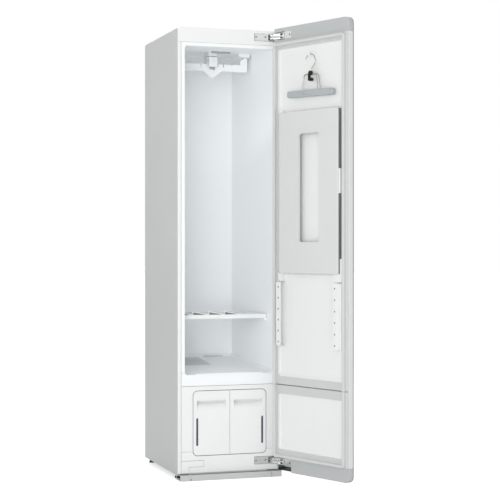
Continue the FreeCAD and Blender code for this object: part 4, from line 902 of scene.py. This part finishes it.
class CABINET_OT_hanger_wires(bpy.types.Operator):
    """Makes the trousers hanger's hook, neck and two bails from bent wire"""
    bl_idname = "steam_cabinet.hanger_wires"
    bl_label = "Hanger wires"

    def bail(self, off, half_top, half_low):
        """Points of a bail, up one side from the clamp, across the jaw's axis and down the other."""
        low = BAR_MIDDLE + 12.0
        side = [
            (half_low, low),
            (half_low - 1, low + 12),
            (half_top + 5, JAW_AXIS - 16),
            (half_top + 2, JAW_AXIS - 5),
            (half_top - 2, JAW_AXIS),
            (half_top - 9, JAW_AXIS + 0.3),
            (12, JAW_AXIS),
        ]
        mirrored = [(-u, z) for u, z in reversed(side)]
        return [hanger_point(u, off, z) for u, z in side + mirrored]

    def execute(self, context):
        radius = sizes().wire / 2
        bend, aside = 28.0, 7.0
        tip, turned, steps = 166, 216, 16
        # The bend's middle, with the wire's inner side resting on the peg.
        middle = HANG_HEIGHT + radius / MM - math.sqrt(bend ** 2 - aside ** 2)
        turns = [math.radians(tip - turned * step / steps) for step in range(steps + 1)]
        hook = [(bend * math.cos(turn) - aside, middle + bend * math.sin(turn)) for turn in turns]
        neck = [(6.0, 1668.5), (1.2, 1663.0), (0.0, 1656.0), (0.0, 1648.0), (0.0, JAW_AXIS - 1.0)]
        line = [hanger_point(u, HOOK_OFF, z) for u, z in hook + neck]
        made = wire("hook_and_bail", [line, self.bail(HOOK_OFF, half_top=40.0, half_low=54.0)], radius)
        dress(made, "trouser_hanger", "wire_chrome", "chrome wire", nodes=["trouser_hanger"])
        made = wire("jaw_bail", [self.bail(JAW_OFF, half_top=34.0, half_low=46.0)], radius)
        dress(made, "clamp_jaw", "wire_chrome", "chrome wire")
        return {"FINISHED"}


class CABINET_OT_clamp_jaw(bpy.types.Operator):
    """Makes the hanger's front jaw: a crowned bar with a bare label place and an end cap"""
    bl_idname = "steam_cabinet.clamp_jaw"
    bl_label = "Clamp jaw"

    def slab(self, name, ends, half_height, radius, levels, nodes=()):
        """Crowned slab: levels are (inset, distance off the door) from its back to its front."""
        first, last = ends
        loops = []
        for inset, off in levels:
            loop = rounded_loop(
                first + inset, last - inset,
                BAR_MIDDLE - half_height + inset, BAR_MIDDLE + half_height - inset,
                max(radius - inset, 0.4),
            )
            loops.append([hanger_point(u, off, z) for u, z in loop])
        made = smooth(fill_ends(surface(name, loops)), CROWN_ANGLE)
        dress(made, "clamp_jaw", "clamp_grey", "grey clamp polypropylene", nodes=nodes)

    def execute(self, context):
        half_length, half_height, corner = 135.0, 13.0, 8.0
        cap_gap = (117.2, 118.2)
        label_ends, label_half_height, label_corner = (-44.0, 20.0), 7.0, 1.5
        crown = [(0.6, 15.8), (0.0, 16.4), (0.0, 20.6), (0.4, 21.9), (1.4, 22.8), (3.0, 23.2), (6.0, 23.4)]
        self.slab("front_clamp", (-half_length, cap_gap[0]), half_height, corner, crown, ["clamp_jaw"])
        self.slab("front_clamp_cap", (cap_gap[1], half_length), half_height, corner, crown)
        flat = [(0.0, 23.0), (0.0, 23.4), (0.3, 23.6)]
        self.slab("label_place", label_ends, label_half_height, label_corner, flat)
        return {"FINISHED"}


class CABINET_OT_rear_fold(bpy.types.Operator):
    """Makes the top sheet's rear fold, which closes the edge above the back panel"""
    bl_idname = "steam_cabinet.rear_fold"
    bl_label = "Rear fold of the top"

    def execute(self, context):
        side, low, shoulder, top = 204.3, 1826.0, 1833.2, 1842.2
        bend_middle, bend, steps = 210.5, 10.3, 6
        edge, thick, soft = 0.1, 1.0, 0.3
        reach = math.asin((top - shoulder) / bend)
        right = [(side, low), (side, shoulder)]
        for step in range(steps + 1):
            turn = reach * step / steps
            right.append((bend_middle + bend * math.cos(turn), shoulder + bend * math.sin(turn)))
        outline = right + [(-x, z) for x, z in reversed(right)]
        back = REAR_FACE - edge
        loops = [[cabinet_point(x, y, z) for x, z in outline] for y in (back - thick, back)]
        made = bevel(fill_ends(surface("top_rear_fold", loops)), soft * MM)
        dress(made, "cabinet", node_slot("top_cover"), "powder coated steel")
        return {"FINISHED"}


class CABINET_OT_louvres(bpy.types.Operator):
    """Sets a pressed hood over every rear vent"""
    bl_idname = "steam_cabinet.louvres"
    bl_label = "Rear louvres"

    def hood(self):
        """One hood, round the origin: flush along its upper edge, and standing out along its lower."""
        depth = sizes().louvre_depth / MM
        half, drop, sheet, steps = 41.0, 7.0, 0.5, 6
        rows = []
        for row in range(steps + 1):
            turn = math.pi / 2 * row / steps
            out, down = depth * math.sin(turn), drop * (1 - math.cos(turn))
            rows.append([cabinet_point(x, out, drop / 2 - down) for x in (-half, half)])
        item = surface("louvre_item", rows, round_rows=False)
        thick = item.modifiers.new("thickness", "SOLIDIFY")
        thick.thickness = sheet * MM
        thick.offset = 0.0
        return smooth(settle(item), CROWN_ANGLE)

    def execute(self, context):
        lowest, pitch, columns = 138.2, 22.0, (-110, 0, 110)
        places = [cabinet_point(x, REAR_FACE, lowest + pitch * row) for row in range(9) for x in columns]
        made = repeat("rear_louvres", self.hood(), places, Euler((0, 0, 0)), finish("galvanised steel"))
        dress(made, "cabinet", "grey_steel", "galvanised steel")
        return {"FINISHED"}


class CABINET_OT_eyelets(bpy.types.Operator):
    """Sets a pressed rim round every hole of the trousers rails"""
    bl_idname = "steam_cabinet.eyelets"
    bl_label = "Rail eyelets"

    def execute(self, context):
        highest, pitch, rail_face, sides = 787.0, 44.8, 28.0, 16
        loops = []
        # The rim's section: radius, and how far it stands off the rail.
        for radius, off in ((3.6, 0.0), (3.5, 0.35), (3.1, 0.6), (2.6, 0.6), (2.3, 0.3), (2.2, -1.2)):
            turns = [2 * math.pi * step / sides for step in range(sides)]
            loops.append([cabinet_point(radius * math.cos(t), off, -radius * math.sin(t)) for t in turns])
        item = smooth(fill_ends(surface("eyelet_item", loops)))
        places = [
            door_point(s, rail_face, highest - pitch * step) for s in (57.0, 392.0) for step in range(6)
        ]
        made = repeat("rail_eyelets", item, places, Euler((0, 0, DOOR_ANGLE)), finish("duct polypropylene and painted shade"))
        dress(made, "door", "rail_white", "duct polypropylene and painted shade")
        return {"FINISHED"}


class CABINET_OT_level_windows(bpy.types.Operator):
    """Makes the raised rim and the clear lens of each tank's level window"""
    bl_idname = "steam_cabinet.level_windows"
    bl_label = "Level windows"

    def loops(self, middle, levels):
        """Loops round a window: levels are (growth past its edge, y) from one face to the other."""
        low, high, half = 137.7, 251.3, 4.3
        made = []
        for grow, y in levels:
            loop = rounded_loop(
                middle - half - grow, middle + half + grow, low - grow, high + grow, half + grow - 0.05, 8
            )
            made.append([cabinet_point(x, y, z) for x, z in loop])
        return made

    def execute(self, context):
        aside = 140.0
        rim = [(0.0, 0.4), (0.0, -0.25), (0.4, -0.5), (1.1, -0.5), (1.5, -0.1), (1.5, 0.4)]
        lens = [(-0.1, 0.45), (-0.1, 0.2), (-0.8, -0.15), (-2.0, -0.3)]
        for side, body in ((-1, "supply_tank"), (1, "drain_tank")):
            middle = side * aside
            made = surface(body + "_window_rim", self.loops(middle, rim), closed=True)
            dress(smooth(made, CROWN_ANGLE), body, "white_plastic", "glossy white ABS")
            made = fill_ends(surface(body + "_window_lens", self.loops(middle, lens)))
            dress(smooth(made, CROWN_ANGLE), body, "tank_clear", "tank SAN")
        return {"FINISHED"}


CLASSES = [
    CabinetColours,
    CabinetSizes,
    CABINET_OT_stage,
    CABINET_OT_plain_nodes,
    CABINET_OT_rounded_nodes,
    CABINET_OT_door_liners,
    CABINET_OT_gasket,
    CABINET_OT_hanger_wires,
    CABINET_OT_clamp_jaw,
    CABINET_OT_rear_fold,
    CABINET_OT_louvres,
    CABINET_OT_eyelets,
    CABINET_OT_level_windows,
]
OPERATORS = [made for made in CLASSES if issubclass(made, bpy.types.Operator)]


class CABINET_PT_panel(bpy.types.Panel):
    """Lists the cabinet's colours, sizes and makers"""
    bl_idname = "CABINET_PT_panel"
    bl_label = "Steam Cabinet"
    bl_space_type = "VIEW_3D"
    bl_region_type = "UI"
    bl_category = "Cabinet"

    def draw(self, context):
        layout = self.layout
        for group in (context.scene.cabinet_colours, context.scene.cabinet_sizes):
            box = layout.box()
            for name in group.bl_rna.properties.keys():
                if name not in ("rna_type", "name"):
                    box.prop(group, name)
        for maker in OPERATORS:
            layout.operator(maker.bl_idname)


def register():
    for made in [*CLASSES, CABINET_PT_panel]:
        bpy.utils.register_class(made)
    bpy.types.Scene.cabinet_colours = bpy.props.PointerProperty(type=CabinetColours)
    bpy.types.Scene.cabinet_sizes = bpy.props.PointerProperty(type=CabinetSizes)


def unregister():
    del bpy.types.Scene.cabinet_sizes
    del bpy.types.Scene.cabinet_colours
    for made in reversed([*CLASSES, CABINET_PT_panel]):
        bpy.utils.unregister_class(made)


def main():
    register()
    for maker in OPERATORS:
        group, name = maker.bl_idname.split(".")
        getattr(getattr(bpy.ops, group), name)()


if __name__ == "__main__":
    main()
